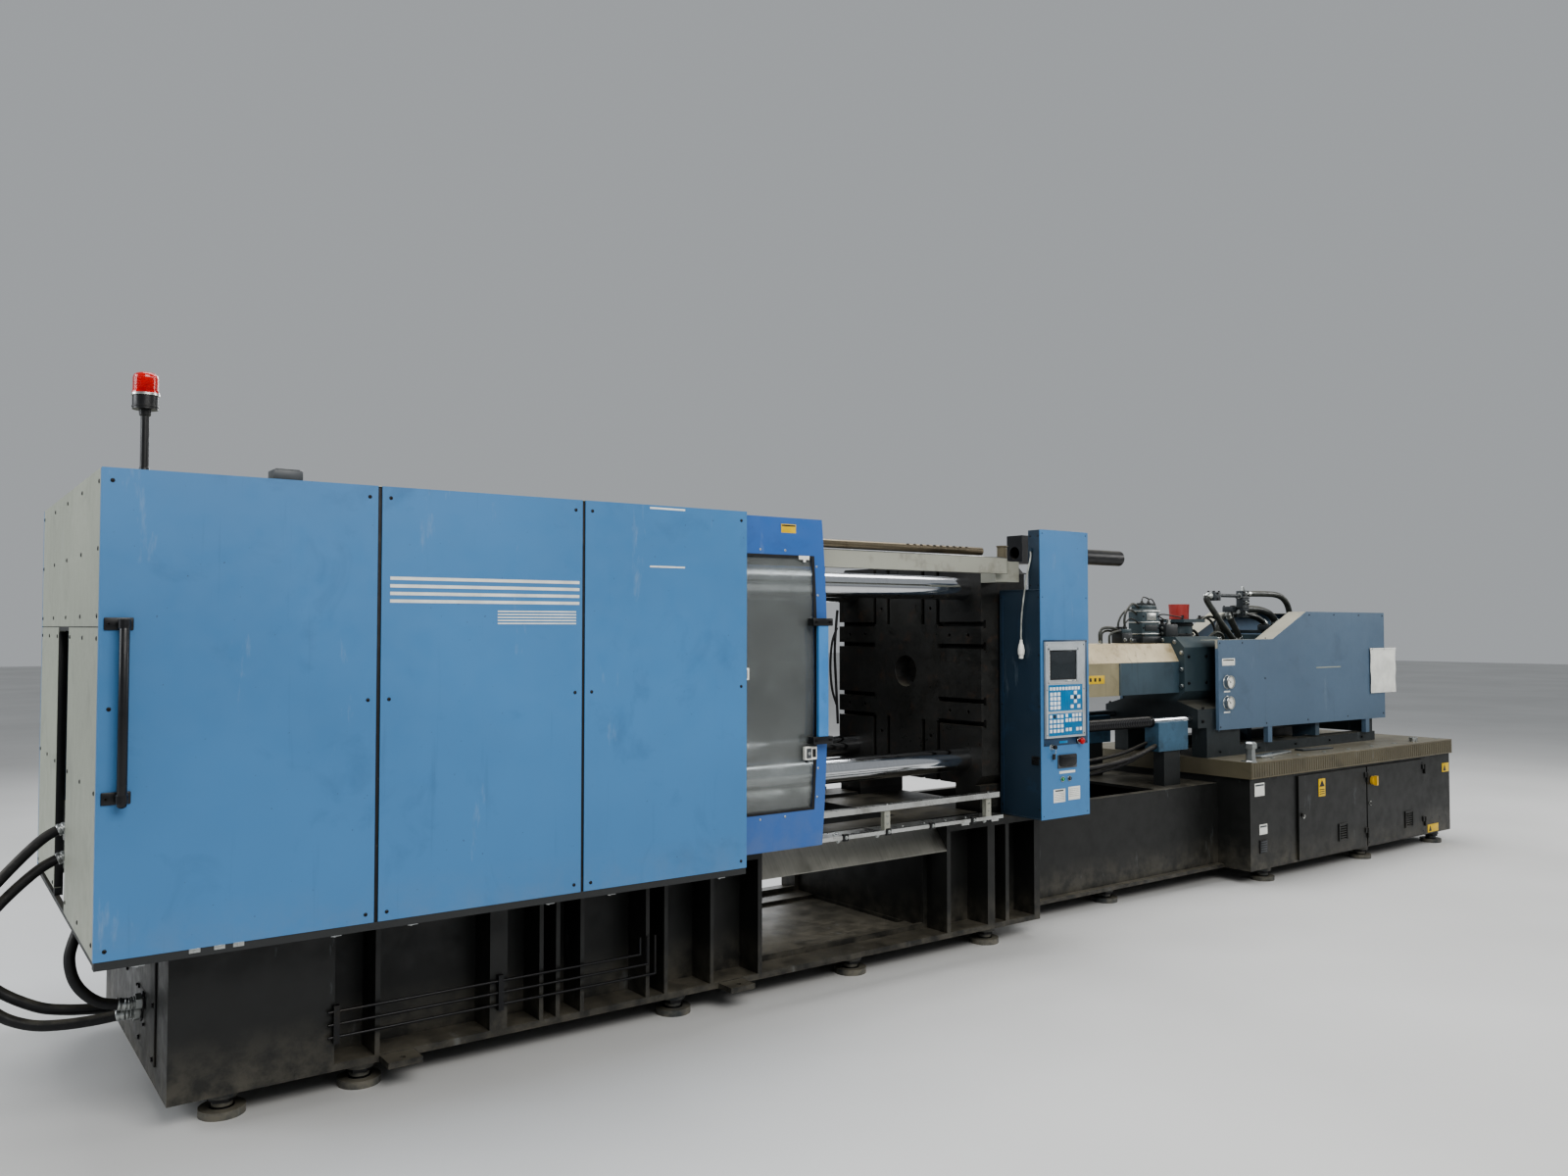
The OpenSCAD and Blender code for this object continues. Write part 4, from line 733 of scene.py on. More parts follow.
p = Piece("panel_screw_heads", ROOT, "screw_steel", [black_m, dark_steel_m])
for sgn in (-1, 1):
    for a, b in PANELS:
        for x, z in screw_pts(a, b):
            p.button((x, sgn * 1010, z), "y", 6.4, sgn, 0, 1, h=3.0)
            p.lathe((x, sgn * 1010, z), "y", [(0, 7.6), (sgn * 0.6, 7.4), (sgn * 0.6, 5.8)], 24, 1)
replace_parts(p.build(), "panel_screws")

p = Piece("front_stripes", ROOT, "white_plastic", [label_m])
for i in range(5):
    z = 1931 - 12.6 * i
    p.prism([(-3731, z - 3.0), (-3371, z - 3.0), (-3371, z + 3.0), (-3731, z + 3.0)], "y", -1010.5, -1009.9)
for z0 in (2052, 2022, 1992, 1962):
    p.prism([(-4180, z0), (-3356, z0), (-3356, z0 + 13), (-4180, z0 + 13)], "y", -1010.5, -1009.9)
p.build()

p = Piece("panel_tape_strips", ROOT, "white_plastic", [label_m])
p.box(-3005, -2817, -1011.2, -1010, 2402, 2411, r=0.5)
p.box(-3004, -2817, -1011.2, -1010, 2136, 2144, r=0.5)
p.build()

# folded lower flange with its bolts, and seal strips along the panel edges
p = Piece("panel_seals", ROOT, "black_plastic", [gasket_m, bright_m])
for sgn in (-1, 1):
    for x in (-4222, -3335):
        y0, y1 = sorted((sgn * 1003, sgn * 1006.5))
        p.box(x - 7.5, x + 7.5, y0, y1, 722, 2414, r=1.0)
    for a, b in PANELS:
        for x in (a + 120, b - 160):
            y0, y1 = sorted((sgn * 965, sgn * 1006))
            p.box(x, x + 40, y0, y1, 686, 690, r=1.0, m=1)
            p.hexbolt((x + 20, sgn * 985, 686), "z", 8, -1, 1)
p.build()

# clips under the first panel
p = Piece("panel_clips", ROOT, "bright_steel", [zinc_m])
for x in (-4882, -4800, -4736):
    p.box(x, x + 38, -1009.5, -1000, 704, 720, r=1.5)
    p.hexbolt((x + 19, -1009.5, 711), "y", 6, -1, 0)
p.build()

# ---------------------------------------------------------------------------
# clamp end: hood seam, screws, hose plate, ferrules
# ---------------------------------------------------------------------------
p = Piece("end_screws", ROOT, "screw_steel", [black_m, dark_steel_m])
for z in (1905, 2140, 2375):
    for y in (-955, -480, 0, 480, 955):
        p.button((-5180, y, z), "x", 8.5, -1, 0, 1, h=3.4)
for z in (770, 1290, 1826):
    for y in (-955, -560, -160, 310, 640, 955):
        p.button((-5180, y, z), "x", 8.5, -1, 0, 1, h=3.4)
for y in (-940, -470, 0, 470, 940):
    for x in (-5120, -4240, -3340, -2510):
        p.button((x, y, 2420), "z", 8.5, 1, 0, 1, h=3.4)
p.build()

p = Piece("roof_fittings", ROOT, "cream_paint", [cream_m, bright_m, grey_d_m, black_m])
for x in (-4222, -3335):
    p.box(x - 28, x + 28, -985, 985, 2420, 2423, r=1.0)
    for k in range(12):
        y = -935 + 170 * k
        p.button((x, y, 2423), "z", 6, 1, 1, 3, h=2.6)
p.box(-4618, -4510, -1000, -915, 2420, 2458, r=5, m=2)
p.box(-4608, -4520, -992, -923, 2458, 2462, r=2, m=2)
for x in (-4800, -2820):
    for y in (-330, 330):
        p.lathe((x, y, 2420), "z", [(0, 32), (5, 32), (8, 26), (8, 17), (22, 15), (26, 10)], 20, 1)
        pts = [(x + 27 * math.cos(t), y, 2464 + 27 * math.sin(t)) for t in [2 * math.pi * i / 20 for i in range(21)]]
        p.tube(pts, 8.5, 8, 1, k=1, caps=False)
for j in range(9):
    p.box(-3900, -3560, 330 + 34 * j, 344 + 34 * j, 2420, 2430, r=3, m=0, rot=("x", 24))
p.box(-3925, -3912, 312, 640, 2420, 2432, r=2)
p.box(-3548, -3535, 312, 640, 2420, 2432, r=2)
p.build()

p = Piece("hose_ferrules", ROOT, "bright_steel", [zinc_m, dark_steel_m])
for name in ("hose_upper", "hose_lower", "hose_inner"):
    pts, r, _m = ROUTES[name]
    for q in (smooth_route(pts, 12), list(reversed(smooth_route(pts, 12)))):
        seg, run = [q[0]], 0.0
        for u, v in zip(q, q[1:]):
            run += (v - u).length
            if run > 62:
                break
            seg.append(v)
        def crimp(t):
            return 1.0 + (0.055 if int(t * 9) % 2 == 0 else -0.02)
        seg2 = [seg[0].lerp(seg[-1], 0)] + seg[1:]
        p.tube(seg2, r + 2.6, 24, 0, k=2, radii=crimp)
# hexagon nuts on the bulkhead and the base couplings
for y, z in ((0, 1043), (0, 926)):
    p.lathe((-5140, y, z), "x", [(0, 30), (-2, 34), (-20, 34), (-24, 30)], 6, 0)
    p.lathe((-5122, y, z), "x", [(0, 36), (4, 40), (16, 40), (18, 36)], 6, 1)
for y, z in ((-286, 326), (-212, 336), (-328, 376)):
    p.lathe((-4952, y, z), "x", [(0, 30), (2, 34), (22, 34), (24, 30)], 6, 0)
    p.lathe((-4910, y, z), "x", [(0, 38), (-4, 40), (-14, 40), (-16, 36)], 6, 1)
p.lathe((-5122, -215, 748), "z", [(0, 30), (2, 34), (20, 34), (22, 30)], 6, 0)
p.build()

p = Piece("hose_bulkhead_bolts", ROOT, "bright_steel", [zinc_m, black_m, label_m])
for y in (-275, 285):
    for z in (845, 975, 1105):
        p.hexbolt((-5132, y, z), "x", 10, -1)
for y in (-231, -199):
    for z in (784, 808):
        p.socket((-5150, y, z), "x", 8, -1, 0, 1)
# small pale fitting beside the gap, capped spare ports
p.lathe((-5132, -62, 1088), "x", [(0, 24), (-4, 24), (-6, 17), (-26, 17), (-30, 12), (-30, 0)], 20, 2)
for y, z in ((110, 1043), (110, 926), (-110, 926), (200, 985)):
    p.lathe((-5132, y, z), "x", [(0, 30), (-4, 30), (-6, 24), (-20, 24), (-24, 20), (-24, 0)], 6, 0)
# narrow gasket along the hose gap
for y in (-113.5, 263.5):
    p.box(-5179, -5150, y - 2.2, y + 2.2, 756, 1846, r=1.0, m=1)
p.build()

# clamp end base: covers, drain plug, nuts
p = Piece("end_base_fittings", ROOT, "base_paint", [base_m, zinc_m, dark_steel_m])
p.box(-4918, -4910, -560, 120, 180, 640, r=2)
for y in (-535, -220, 95):
    for z in (205, 410, 615):
        p.hexbolt((-4918, y, z), "x", 10, -1, 2)
p.box(-4920, -4910, -360, -180, 280, 420, r=3)
for y, z in ((-350, 290), (-190, 290), (-350, 410), (-190, 410)):
    p.socket((-4920, y, z), "x", 8, -1, 2, 2)
p.lathe((-4910, 420, 170), "x", [(0, 34), (-5, 34), (-7, 22), (-22, 22), (-26, 18), (-26, 0)], 6, 1)
p.build()

# tall handles beside the clamp end
p = Piece("tall_handles", ROOT, "black_plastic", [grip_m, dark_steel_m])
for sgn in (-1, 1):
    y = sgn * 1052
    p.lathe((-5107, y, 1244), "z", [(0, 6), (4, 13), (9, 16.2), (637, 16.2), (642, 13), (646, 6)], 28, 0)
    for z in (1275, 1877):
        # a clamp round the tube on a cast foot
        p.lathe((-5107, sgn * 1048.4, z - 17), "z", [(0, 17.3), (3, 19.9), (31, 19.9), (34, 17.3)], 28, 0)
        ya, yb = sorted((sgn * 1010, sgn * 1050))
        p.box(-5122, -5092, ya, yb, z - 14, z + 14, r=5)
        ya, yb = sorted((sgn * 1010, sgn * 1017))
        p.box(-5166, -5074, ya, yb, z - 22, z + 22, r=4)
        for x in (-5152, -5090 + 2):
            p.socket((x, sgn * 1017, z), "y", 8, sgn, 1, 1, h=6)
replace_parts(p.build(), "grab_handle")

# ---------------------------------------------------------------------------
# signal lamp
# ---------------------------------------------------------------------------
p = Piece("beacon_dome", ROOT, "red_plastic", [lens_m])
prof = [(0, 44), (2, 46.5), (10, 46.5), (12, 43.5)]
t = 14.0
while t < 64:
    prof += [(t, 42.4), (t + 1.6, 43.9), (t + 3.2, 43.9), (t + 4.8, 42.4)]
    t += 5.6
prof += [(68, 42.0), (73, 40.0), (78, 35.0), (81.5, 27.0), (83.2, 15.0), (83.9, 0)]
p.lathe((-5006, -710, 2736), "z", prof, 48, 0)
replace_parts(p.build(), "beacon_lens")
p = Piece("beacon_fittings", ROOT, "bright_steel", [silver_m, black_m, dark_steel_m])
p.ring((-5006, -710, 2731), "z", 9, 48.5, 43.0, n=48)
p.ring((-5006, -710, 2688), "z", 4, 46.0, 30.0, n=48, m=1)
p.lathe((-5006, -710, 2655), "z", [(0, 15.5), (4, 20), (24, 22), (26, 30)], 32, 1)
p.lathe((-5006, -710, 2430), "z", [(0, 30), (8, 28), (12, 19), (30, 17.5), (34, 15.2)], 32, 1)
for i in range(4):
    a = math.pi / 4 + i * math.pi / 2
    p.hexbolt((-5006 + 36 * math.cos(a), -710 + 36 * math.sin(a), 2430), "z", 6, 1, 2)
p.tube([(-4990, -695, 2422), (-4975, -680, 2426), (-4950, -640, 2425), (-4920, -560, 2424)], 4.5, 8, 1)
p.build()

# ---------------------------------------------------------------------------
# front door: bowed face y = dface(z)
# ---------------------------------------------------------------------------
def dface(z):
    return -985.0 + 46.0 * ((z - 1587.0) / 825.0) ** 2


def bow_strip(p, x0, x1, z0, z1, out, back, m=0, n=24, sgn=-1, dx=0.0):
    """a strip that follows the bowed face, from out before it to back behind it"""
    zs = [z0 + (z1 - z0) * i / n for i in range(n + 1)]
    pts = [(dface(z) - out, z) for z in zs] + [(dface(z) + back, z) for z in reversed(zs)]
    if sgn > 0:
        pts = [(-y, z) for y, z in pts]
    p.prism(pts, "x", x0 + dx, x1 + dx, 0, m)


def door_parts(prefix, body, sgn, dx):
    g = Piece(prefix + "_gasket", body, "black_plastic", [gasket_m])
    bow_strip(g, -3912, -3894, 949, 2224, 2.4, 0.2, sgn=sgn, dx=dx)
    bow_strip(g, -2036, -2018, 949, 2224, 2.4, 0.2, sgn=sgn, dx=dx)
    bow_strip(g, -3894, -2036, 2212, 2224, 2.4, 0.2, n=2, sgn=sgn, dx=dx)
    bow_strip(g, -3894, -2036, 949, 961, 2.4, 0.2, n=2, sgn=sgn, dx=dx)
    g.build()
    s = Piece(prefix + "_screws", body, "screw_steel", [zinc_m, black_m])
    y = lambda z: sgn * -1 * (dface(z)) if sgn > 0 else dface(z)
    for x in [-3870 + 152 * i for i in range(13)]:
        if x > -2060:
            continue
        for z in (2246, 928):
            s.button((x + dx, y(z), z), "y", 6.0, sgn, 0, 1, h=2.6)
    for z in [1010 + 145 * i for i in range(9)]:
        s.button((-3930 + dx, y(z), z), "y", 6.0, sgn, 0, 1, h=2.6)
        if not (1260 < z < 1340 or 1850 < z < 1930):
            s.button((-2004 + dx, y(z), z), "y", 6.0, sgn, 0, 1, h=2.6)
    # rollers behind the shoes
    for x in (-3855, -2155):
        for z, yy, rr in ((2281.5, 874, 5.5), (931, 889, 10.5)):
            o = sgn * yy
            s.cyl((x + dx, o - 4, z), "y", 8, rr, m=1)
    s.build()


door_parts("front_door", "front_door", -1, 0.0)
door_parts("rear_door", "rear_door", 1, 1515.0)

p = Piece("front_door_lock", "front_door", "white_plastic", [white_m, grey_d_m, black_m, zinc_m])
y = dface(1236)
p.box(-2107, -2032, y - 24, y - 1, 1203, 1270, r=4)
p.box(-2099, -2070, y - 27, y - 24, 1212, 1261, r=1.2, m=1)
p.box(-2062, -2040, y - 26, y - 24, 1216, 1257, r=1.0, m=2)
p.lathe((-2084, y - 27, 1236), "y", [(0, 8), (-3, 8), (-4, 6), (-4, 0)], 20, 3)
p.box(-2090, -2078, y - 20, y + 2, 1188, 1204, r=2, m=1)
# small pale tag at the corner of the window
y = dface(2213)
p.box(-2118, -2050, y - 4, y - 2.5, 2203, 2223, r=0.5)
p.box(-2092, -2076, y - 8, y - 4, 2190, 2206, r=1.5)
# white catch at the left edge of the window in the photo
y = dface(1640)
p.box(-2462, -2440, y - 6, y + 1, 1610, 1668, r=2)
p.box(-2462, -2452, y - 9, y - 6, 1618, 1660, r=1.5, m=1)
p.build()

p = Piece("front_door_plate", "front_door", "switch_yellow", [yellow_m, black_m])
y = dface(2352)
p.box(-2216, -2124, y - 1.6, y + 0.6, 2325, 2379, r=0.6)
p.box(-2212, -2128, y - 2.0, y - 1.5, 2368, 2375, r=0.2, m=1)
p.build()

p = Piece("front_door_handle_clamps", "front_door", "black_plastic", [grip_m, dark_steel_m])
for z in (1300, 1890):
    p.box(-2079, -1954, -1032.5, -1026.5, z - 19, z + 19, r=3)
    p.box(-2079, -2070, -1032, -984, z - 19, z + 19, r=3)
    p.box(-1963, -1954, -1032, -984, z - 19, z + 19, r=3)
    for x in (-2060, -1972):
        p.socket((x, -1032.5, z), "y", 9, -1, 1, 1, h=5)
p.build()

h = Mat("handle_paint_and_clamps")
_z = h.xyz(2)
_cl = h.math("MAXIMUM", h.span(_z, 1.3152, 1.3158, 1.0, 0.0), h.span(_z, 1.8742, 1.8748))
_pc = h.mix(h.span(h.noise(2.0, 4, 0.6), 0.36, 0.64), lin("#4079b3"), lin("#5590c9"))
_pc = h.mix(h.span(h.noise(9.0, 6, 0.65), 0.55, 0.7, 0.0, 0.35), _pc, lin("#23405f"))
h.color(h.mix(_cl, _pc, lin("#141518")))
h.rough(h.span(h.noise(14.0, 5, 0.6), 0.3, 0.7, 0.28, 0.46))
h.bump(h.noise(420.0, 2, 0.5), 0.1, 0.0004)
for _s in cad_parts["front_door_handle"].material_slots:
    _s.material = h.m

# ---------------------------------------------------------------------------
# rails of the doors
# ---------------------------------------------------------------------------
p = Piece("rail_fittings", ROOT, "bright_steel", [silver_m, black_m, zinc_m, grey_d_m])
for sgn in (-1, 1):
    ya, yb = sorted((sgn * 921.5, sgn * 893))
    # thin bright strip and its dark groove along the top of the upper rail
    p.box(-2440, -562, ya, yb, 2265.2, 2267.4 if sgn < 0 else 2267.4, r=0.5, m=1)
    ya, yb = sorted((sgn * 890, sgn * 868))
    p.box(-4148, -562, ya, yb, 2265.1, 2272, r=1.2, m=0)
    for x in range(-4100, -600, 240):
        p.button((x, sgn * 879, 2272), "z", 6, 1, 2, 1, h=2.4)
    # end caps
    ya, yb = sorted((sgn * 921, sgn * 861))
    for x in (-4152, -560):
        p.box(x, x + 2.2, ya, yb, 2174, 2266, r=1.0, m=1)
    # clamps and screws on the lower strip
    for x in (-1795, -1500, -1180, -860, -2350, -2800, -3500):
        ya, yb = sorted((sgn * 922, sgn * 904))
        p.box(x, x + 34, ya, yb, 757, 794, r=3, m=1)
        p.hexbolt((x + 17, sgn * 922, 776), "y", 9, sgn, 2)
    for x in range(-4060, -640, 160):
        p.socket((x, sgn * 870, 785), "z", 8, 1, 2, 1, h=5)
    # studs that hold the bright lower rail on its posts
    for x in (-4060, -3280, -2460, -1490, -720):
        p.hexbolt((x, sgn * 911, 920), "z", 8, 1, 2, washer=False)
        for z in (820, 860):
            p.socket((x, sgn * 915, z), "y", 7, sgn, 2, 1, h=4)
p.build()

AZ = 1582.0
# ---------------------------------------------------------------------------
# control column: back plate, screen, keys, switches, plates
# ---------------------------------------------------------------------------
def ku(u):
    return -352 + (u - 62) * 1.606


def kv(v):
    return 1778 - (v - 60) * 1.029


dark_blue_m = paint("column_dark_blue", "#23405c", 0.36, 0.5, dents=0.1, smudge=0.3, low=0.2, streak=0.1)
p = Piece("column_back_plate", ROOT, "column_paint", [dark_blue_m, black_m])
p.box(-358, 34, -1011.6, -1010, 1166, 1788, r=0.7)
for x, z in ((-348, 1177), (24, 1177), (24, 1778), (24, 1480)):
    p.button((x, -1011.6, z), "y", 4.5, -1, 1, 1, h=2.0)
p.build()

p = Piece("controller_frame", ROOT, "grey_plastic", [grey_m, white_m, grey_d_m, black_m])
# raised rim of the housing, the screen's frame and the bar between the keypads
for x0, x1, z0, z1 in ((-352, -345, 1213, 1777), (-9, -2, 1213, 1777), (-345, -9, 1770, 1777), (-345, -9, 1213, 1220)):
    p.box(x0, x1, -1026.4, -1023.8, z0, z1, r=1.1)
for x0, x1, z0, z1 in ((-334, -322, 1534, 1740), (-74, -62, 1534, 1740), (-334, -62, 1728, 1740), (-334, -62, 1532, 1540)):
    p.box(x0, x1, -1026.8, -1023.8, z0, z1, r=1.2)
p.box(-322, -310, -1019, -1016, 1545, 1724, r=1.0, m=0)
for i in range(7):
    z = 1586 + 18 * i
    p.box(-320, -312, -1021.4, -1018.8, z - 4.5, z + 4.5, r=0.9, m=1)
for i in range(5):
    x = -170 + 20 * i
    p.box(x, x + 15, -1019.6, -1016, 1543, 1550, r=0.8, m=1 if i in (1, 2, 4) else 0)
p.box(-330, -24, -1022.4, -1021, 1357, 1367, r=0.6)
for x in (-341, -13):
    for z in (1231, 1495, 1759):
        p.button((x, -1024, z), "y", 4.2, -1, 2, 3, h=1.8)
p.build()

p = Piece("controller_screen", ROOT, "black_plastic", [screen_m, black_m])
p.box(-307, -75, -1018.6, -1016, 1553, 1727, r=1.2, m=1)
# slightly crowned glass
n = 10
rows = []
for i in range(n + 1):
    row = []
    for j in range(n + 1):
        u, v = -1 + 2 * i / n, -1 + 2 * j / n
        row.append(p.bm.verts.new((-191 + u * 108, -1018.7 - 1.9 * (1 - u * u) * (1 - v * v) ** 1.0, 1640 + v * 80)))
    rows.append(row)
fs = []
for i in range(n):
    for j in range(n):
        fs.append(p.bm.faces.new((rows[i][j], rows[i + 1][j], rows[i + 1][j + 1], rows[i][j + 1])))
p._set(fs, 0)
p.build()

p = Piece("controller_keys", ROOT, "white_plastic", [key_m, key_blue_m, key_dark_m, grey_m])
p.box(-329, -25, -1022.0, -1021, 1369, 1524, r=0.4, m=1)
p.box(-329, -25, -1022.0, -1021, 1224, 1355, r=0.4, m=1)


def key(u0, u1, v0, v1, m=0, h=1.4):
    p.box(ku(u0), ku(u1), -1022.0 - h, -1021.8, kv(v1), kv(v0), r=1.0, m=m)


for i in range(10):
    u = 84 + 17.2 * i
    key(u, u + 12.5, 320, 338)
for j in range(4):
    for i in range(3):
        key(86 + 20.5 * i, 101 + 20.5 * i, 350 + 26 * j, 370 + 26 * j)
for u, v in ((218, 345), (199, 370), (237, 370), (218, 395), (199, 424), (237, 424)):
    key(u, u + 16, v, v + 20)
p.lathe(((ku(226)), -1022.0, kv(382)), "y", [(0, 12), (-0.8, 11.6), (-0.8, 0)], 20, 2)
for j in range(4):
    for i in range(4):
        if j == 0 and i == 1:
            key(83 + 20.3 * i, 97 + 20.3 * i, 478, 497, m=2)
            continue
        key(83 + 20.3 * i, 97 + 20.3 * i, 478 + 27.5 * j, 497 + 27.5 * j)
for i in range(5):
    u = 170 + 18.6 * i
    if i != 1:
        key(u, u + 13.5, 476, 495)
    key(u, u + 13.5, 502, 522)
for u in (171, 190, 229, 248):
    key(u, u + 13.5, 556, 575)
p.build()

p = Piece("column_controls", ROOT, "black_plastic", [black_m, silver_m, grip_m, key_blue_m, dark_steel_m, grey_d_m, dark_blue_m])
# emergency stop collar, button rings
p.ring((-53, -1010, 1186), "y", -8, 19.0, 9.4, n=40, m=0)
p.ring((-53, -1018, 1186), "y", -3.2, 16.5, 9.6, n=40, m=1)
for x in (-197, -136):
    p.ring((x, -1010, 967), "y", -5.5, 16.5, 12.0, n=36, m=1)
# key switch with its key and tag
p.lathe((-290, -1010, 1160), "y", [(0, 17), (-3, 17), (-5, 15), (-7, 14.5), (-14, 12.5), (-15, 11), (-15, 0)], 32, 1)
p.box(-292.5, -287.5, -1036, -1024, 1150, 1172, r=1.5, m=4)
p.lathe((-290, -1036, 1161), "y", [(0, 3), (-3, 4), (-5, 10), (-8, 13), (-10, 10), (-10, 0)], 24, 4)
p.tube([(-290, -1043, 1152), (-293, -1046, 1140), (-289, -1040, 1128), (-292, -1030, 1120)], 1.6, 8, 1)
p.box(-303, -279, -1033, -1026, 1088, 1122, r=3, m=0)
# small plate between key switch and stop button
p.box(-223, -151, -1012.6, -1011.2, 1178, 1191, r=0.5, m=3)
# socket with its rounded black cover
p.box(-240, -70, -1016, -1010, 1030, 1110, r=3.5, m=5)
p.prism([(-232, 1106), (-78, 1106), (-78, 1058), (-92, 1044), (-122, 1038), (-188, 1038), (-218, 1044), (-232, 1058)], "y", -1023, -1015, 2.0, 0)
p.prism([(-222, 1098), (-88, 1098), (-88, 1066), (-102, 1054), (-130, 1049), (-180, 1049), (-208, 1054), (-222, 1066)], "y", -1025.5, -1022, 1.5, 2)
p.cyl((-228, -1018, 1108), "x", 146, 3.4, m=0)
# vent on the left side of the column, screws of the covers
p.box(-383.5, -379.5, -992, -938, 1058, 1108, r=1.2, m=0)
for k in range(5):
    p.box(-386, -382.5, -986, -944, 1064 + 9 * k, 1068 + 9 * k, r=0.8, m=2)
for z in (800, 1100, 1400, 1700, 2040):
    for y in (-996, -705):
        p.button((-380, y, z), "x", 5.5, -1, 0, 4, h=2.2)
        p.button((50, y, z), "x", 5.5, 1, 0, 4, h=2.2)
for z in (2110, 2400):
    for y in (-996, -936):
        p.button((-380, y, z), "x", 5.5, -1, 0, 4, h=2.2)
for x in (-360, 30):
    for z in (760, 2040, 2415):
        p.button((x, -1010, z), "y", 4.0, -1, 6, 4, h=1.6)
p.build()

p = Piece("column_seams", ROOT, "column_paint", [dark_blue_m, column_blue_shaded_side_m])
# folded lip of the lower box, lid of the upper box, door gap on the side
p.box(-384, -380, -1004, -696, 2078, 2086, r=1.6, m=1)
p.box(-384, -380, -1004, -698, 742, 748, r=1.4, m=1)
p.box(-382.2, -379.6, -716, -713, 760, 2060, r=0.6, m=0)
p.box(-366, 36, -1008, -922, 2434.6, 2437, r=0.8, m=1)
p.build()

p = Piece("column_plates", ROOT, "white_plastic", [label_m, grey_d_m, white_m])
p.box(-223, -82, -1011.4, -1010, 999, 1014, r=0.5)
p.box(-276, -172, -1011.4, -1010, 832, 910, r=0.6)
p.box(-145, -39, -1011.4, -1010, 838, 916, r=0.6)
p.box(-262, -188, -1011.9, -1011.3, 896, 905, r=0.2, m=1)
for k in range(5):
    p.box(-268, -180, -1011.7, -1011.3, 884 - 9.5 * k, 885.6 - 9.5 * k, r=0.1, m=1)
    p.box(-137, -48, -1011.7, -1011.3, 902 - 10.5 * k, 903.4 - 10.5 * k, r=0.1, m=1)
p.build()

# the stop button is a mushroom, the two push buttons are dished
p = Piece("e_stop_button", "e_stop", "stop_red", [red_m, silver_m])
p.lathe((-53, -990, 1186), "y", [(0, 7.6), (-44, 7.6), (-44, 14.5), (-47, 18.6), (-52, 20.0), (-57, 19.2), (-61, 16.0), (-63.4, 9.5), (-64, 0)], 40, 0)
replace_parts(p.build(), "e_stop")
for nm, x, mt in (("start_button", -197, green_m), ("stop_button", -136, black_m)):
    p = Piece(nm + "_cap", nm, "green_plastic" if nm == "start_button" else "black_plastic", [mt, label_m])
    p.lathe((x, -998, 967), "y", [(0, 5.7), (-17, 5.7), (-17, 10.2), (-18, 11.0), (-22.4, 11.0), (-23.6, 10.0), (-22.8, 8.0), (-22.2, 0)], 36, 0)
    p.box(x - 0.8, x + 0.8, -1020.9, -1020, 962, 972, r=0.2, m=1)
    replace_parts(p.build(), nm)

# ---------------------------------------------------------------------------
# hydraulics over the injection carriage
# ---------------------------------------------------------------------------
IC = "injection_carriage"
PIPES = {
    "pipe_leg": ([(2960, -150, 1729), (2930, -150, 1746), (2861, -150, 1800), (2750, -150, 1892), (2640, -150, 1990),
                  (2572, -150, 2052), (2549, -150, 2082), (2556, -150, 2106), (2580, -150, 2109), (2602, -150, 2109)], 24),
    "pipe_outer": ([(3084, -150, 2134), (3300, -150, 2137), (3505, -150, 2134), (3620, -150, 2112), (3697, -150, 2060),
                    (3735, -150, 1985), (3740, -150, 1920), (3738, -150, 1879)], 24),
    "pipe_inner": ([(3059, -60, 2008), (3200, -60, 2012), (3400, -60, 2008), (3550, -60, 1982), (3640, -60, 1935), (3678, -60, 1879)], 30),
    "pipe_short": ([(2990, -60, 1992), (2992, -60, 1965), (3030, -60, 1905), (3100, -60, 1820), (3134, -60, 1765), (3140, -60, 1729)], 26),
    "pipe_back": ([(3010, 50, 1729), (3000, 50, 1800), (3004, 50, 1880), (3060, 50, 1942), (3200, 50, 1966), (3400, 50, 1964),
                   (3560, 50, 1945), (3665, 50, 1905), (3690, 50, 1879)], 24),
}
hyd_hose_m = rubber("hydraulic_hose_cover", "#2b2e2b", 0.34, 0.52)
p = Piece("carriage_pipes", IC, "machine_paint", [hyd_hose_m, zinc_m, hyd_m, mach_dark_m])
for nm, (pts, r) in PIPES.items():
    p.tube(pts, r, 24, 0, k=8)
    q = smooth_route(pts, 8)
    # crimped ferrules at both ends, following the route
    for w in (q, list(reversed(q))):
        seg, run = [w[0]], 0.0
        for a, b in zip(w, w[1:]):
            run += (b - a).length
            if run > 58:
                break
            seg.append(b)
        if len(seg) > 1:
            p.tube(seg, r + 3.0, 24, 1, k=2, radii=lambda t: 1.0 + (0.05 if int(t * 7) % 2 == 0 else -0.02))
p.tube([(2680, -150, 2115), (2780, -150, 2115), (2900, -150, 2115), (3005, -150, 2115)], 14, 20, 3, k=4)
for x in (2694, 2990):
    p.lathe((x, -150, 2115), "x", [(0, 24), (3, 26), (14, 26), (17, 22)], 6, 1, )
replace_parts(p.build(), "injection_hydraulics")

p = Piece("carriage_valves", IC, "machine_paint", [hyd_m, zinc_m, dark_steel_m, mach_dark_m, black_m, silver_m])
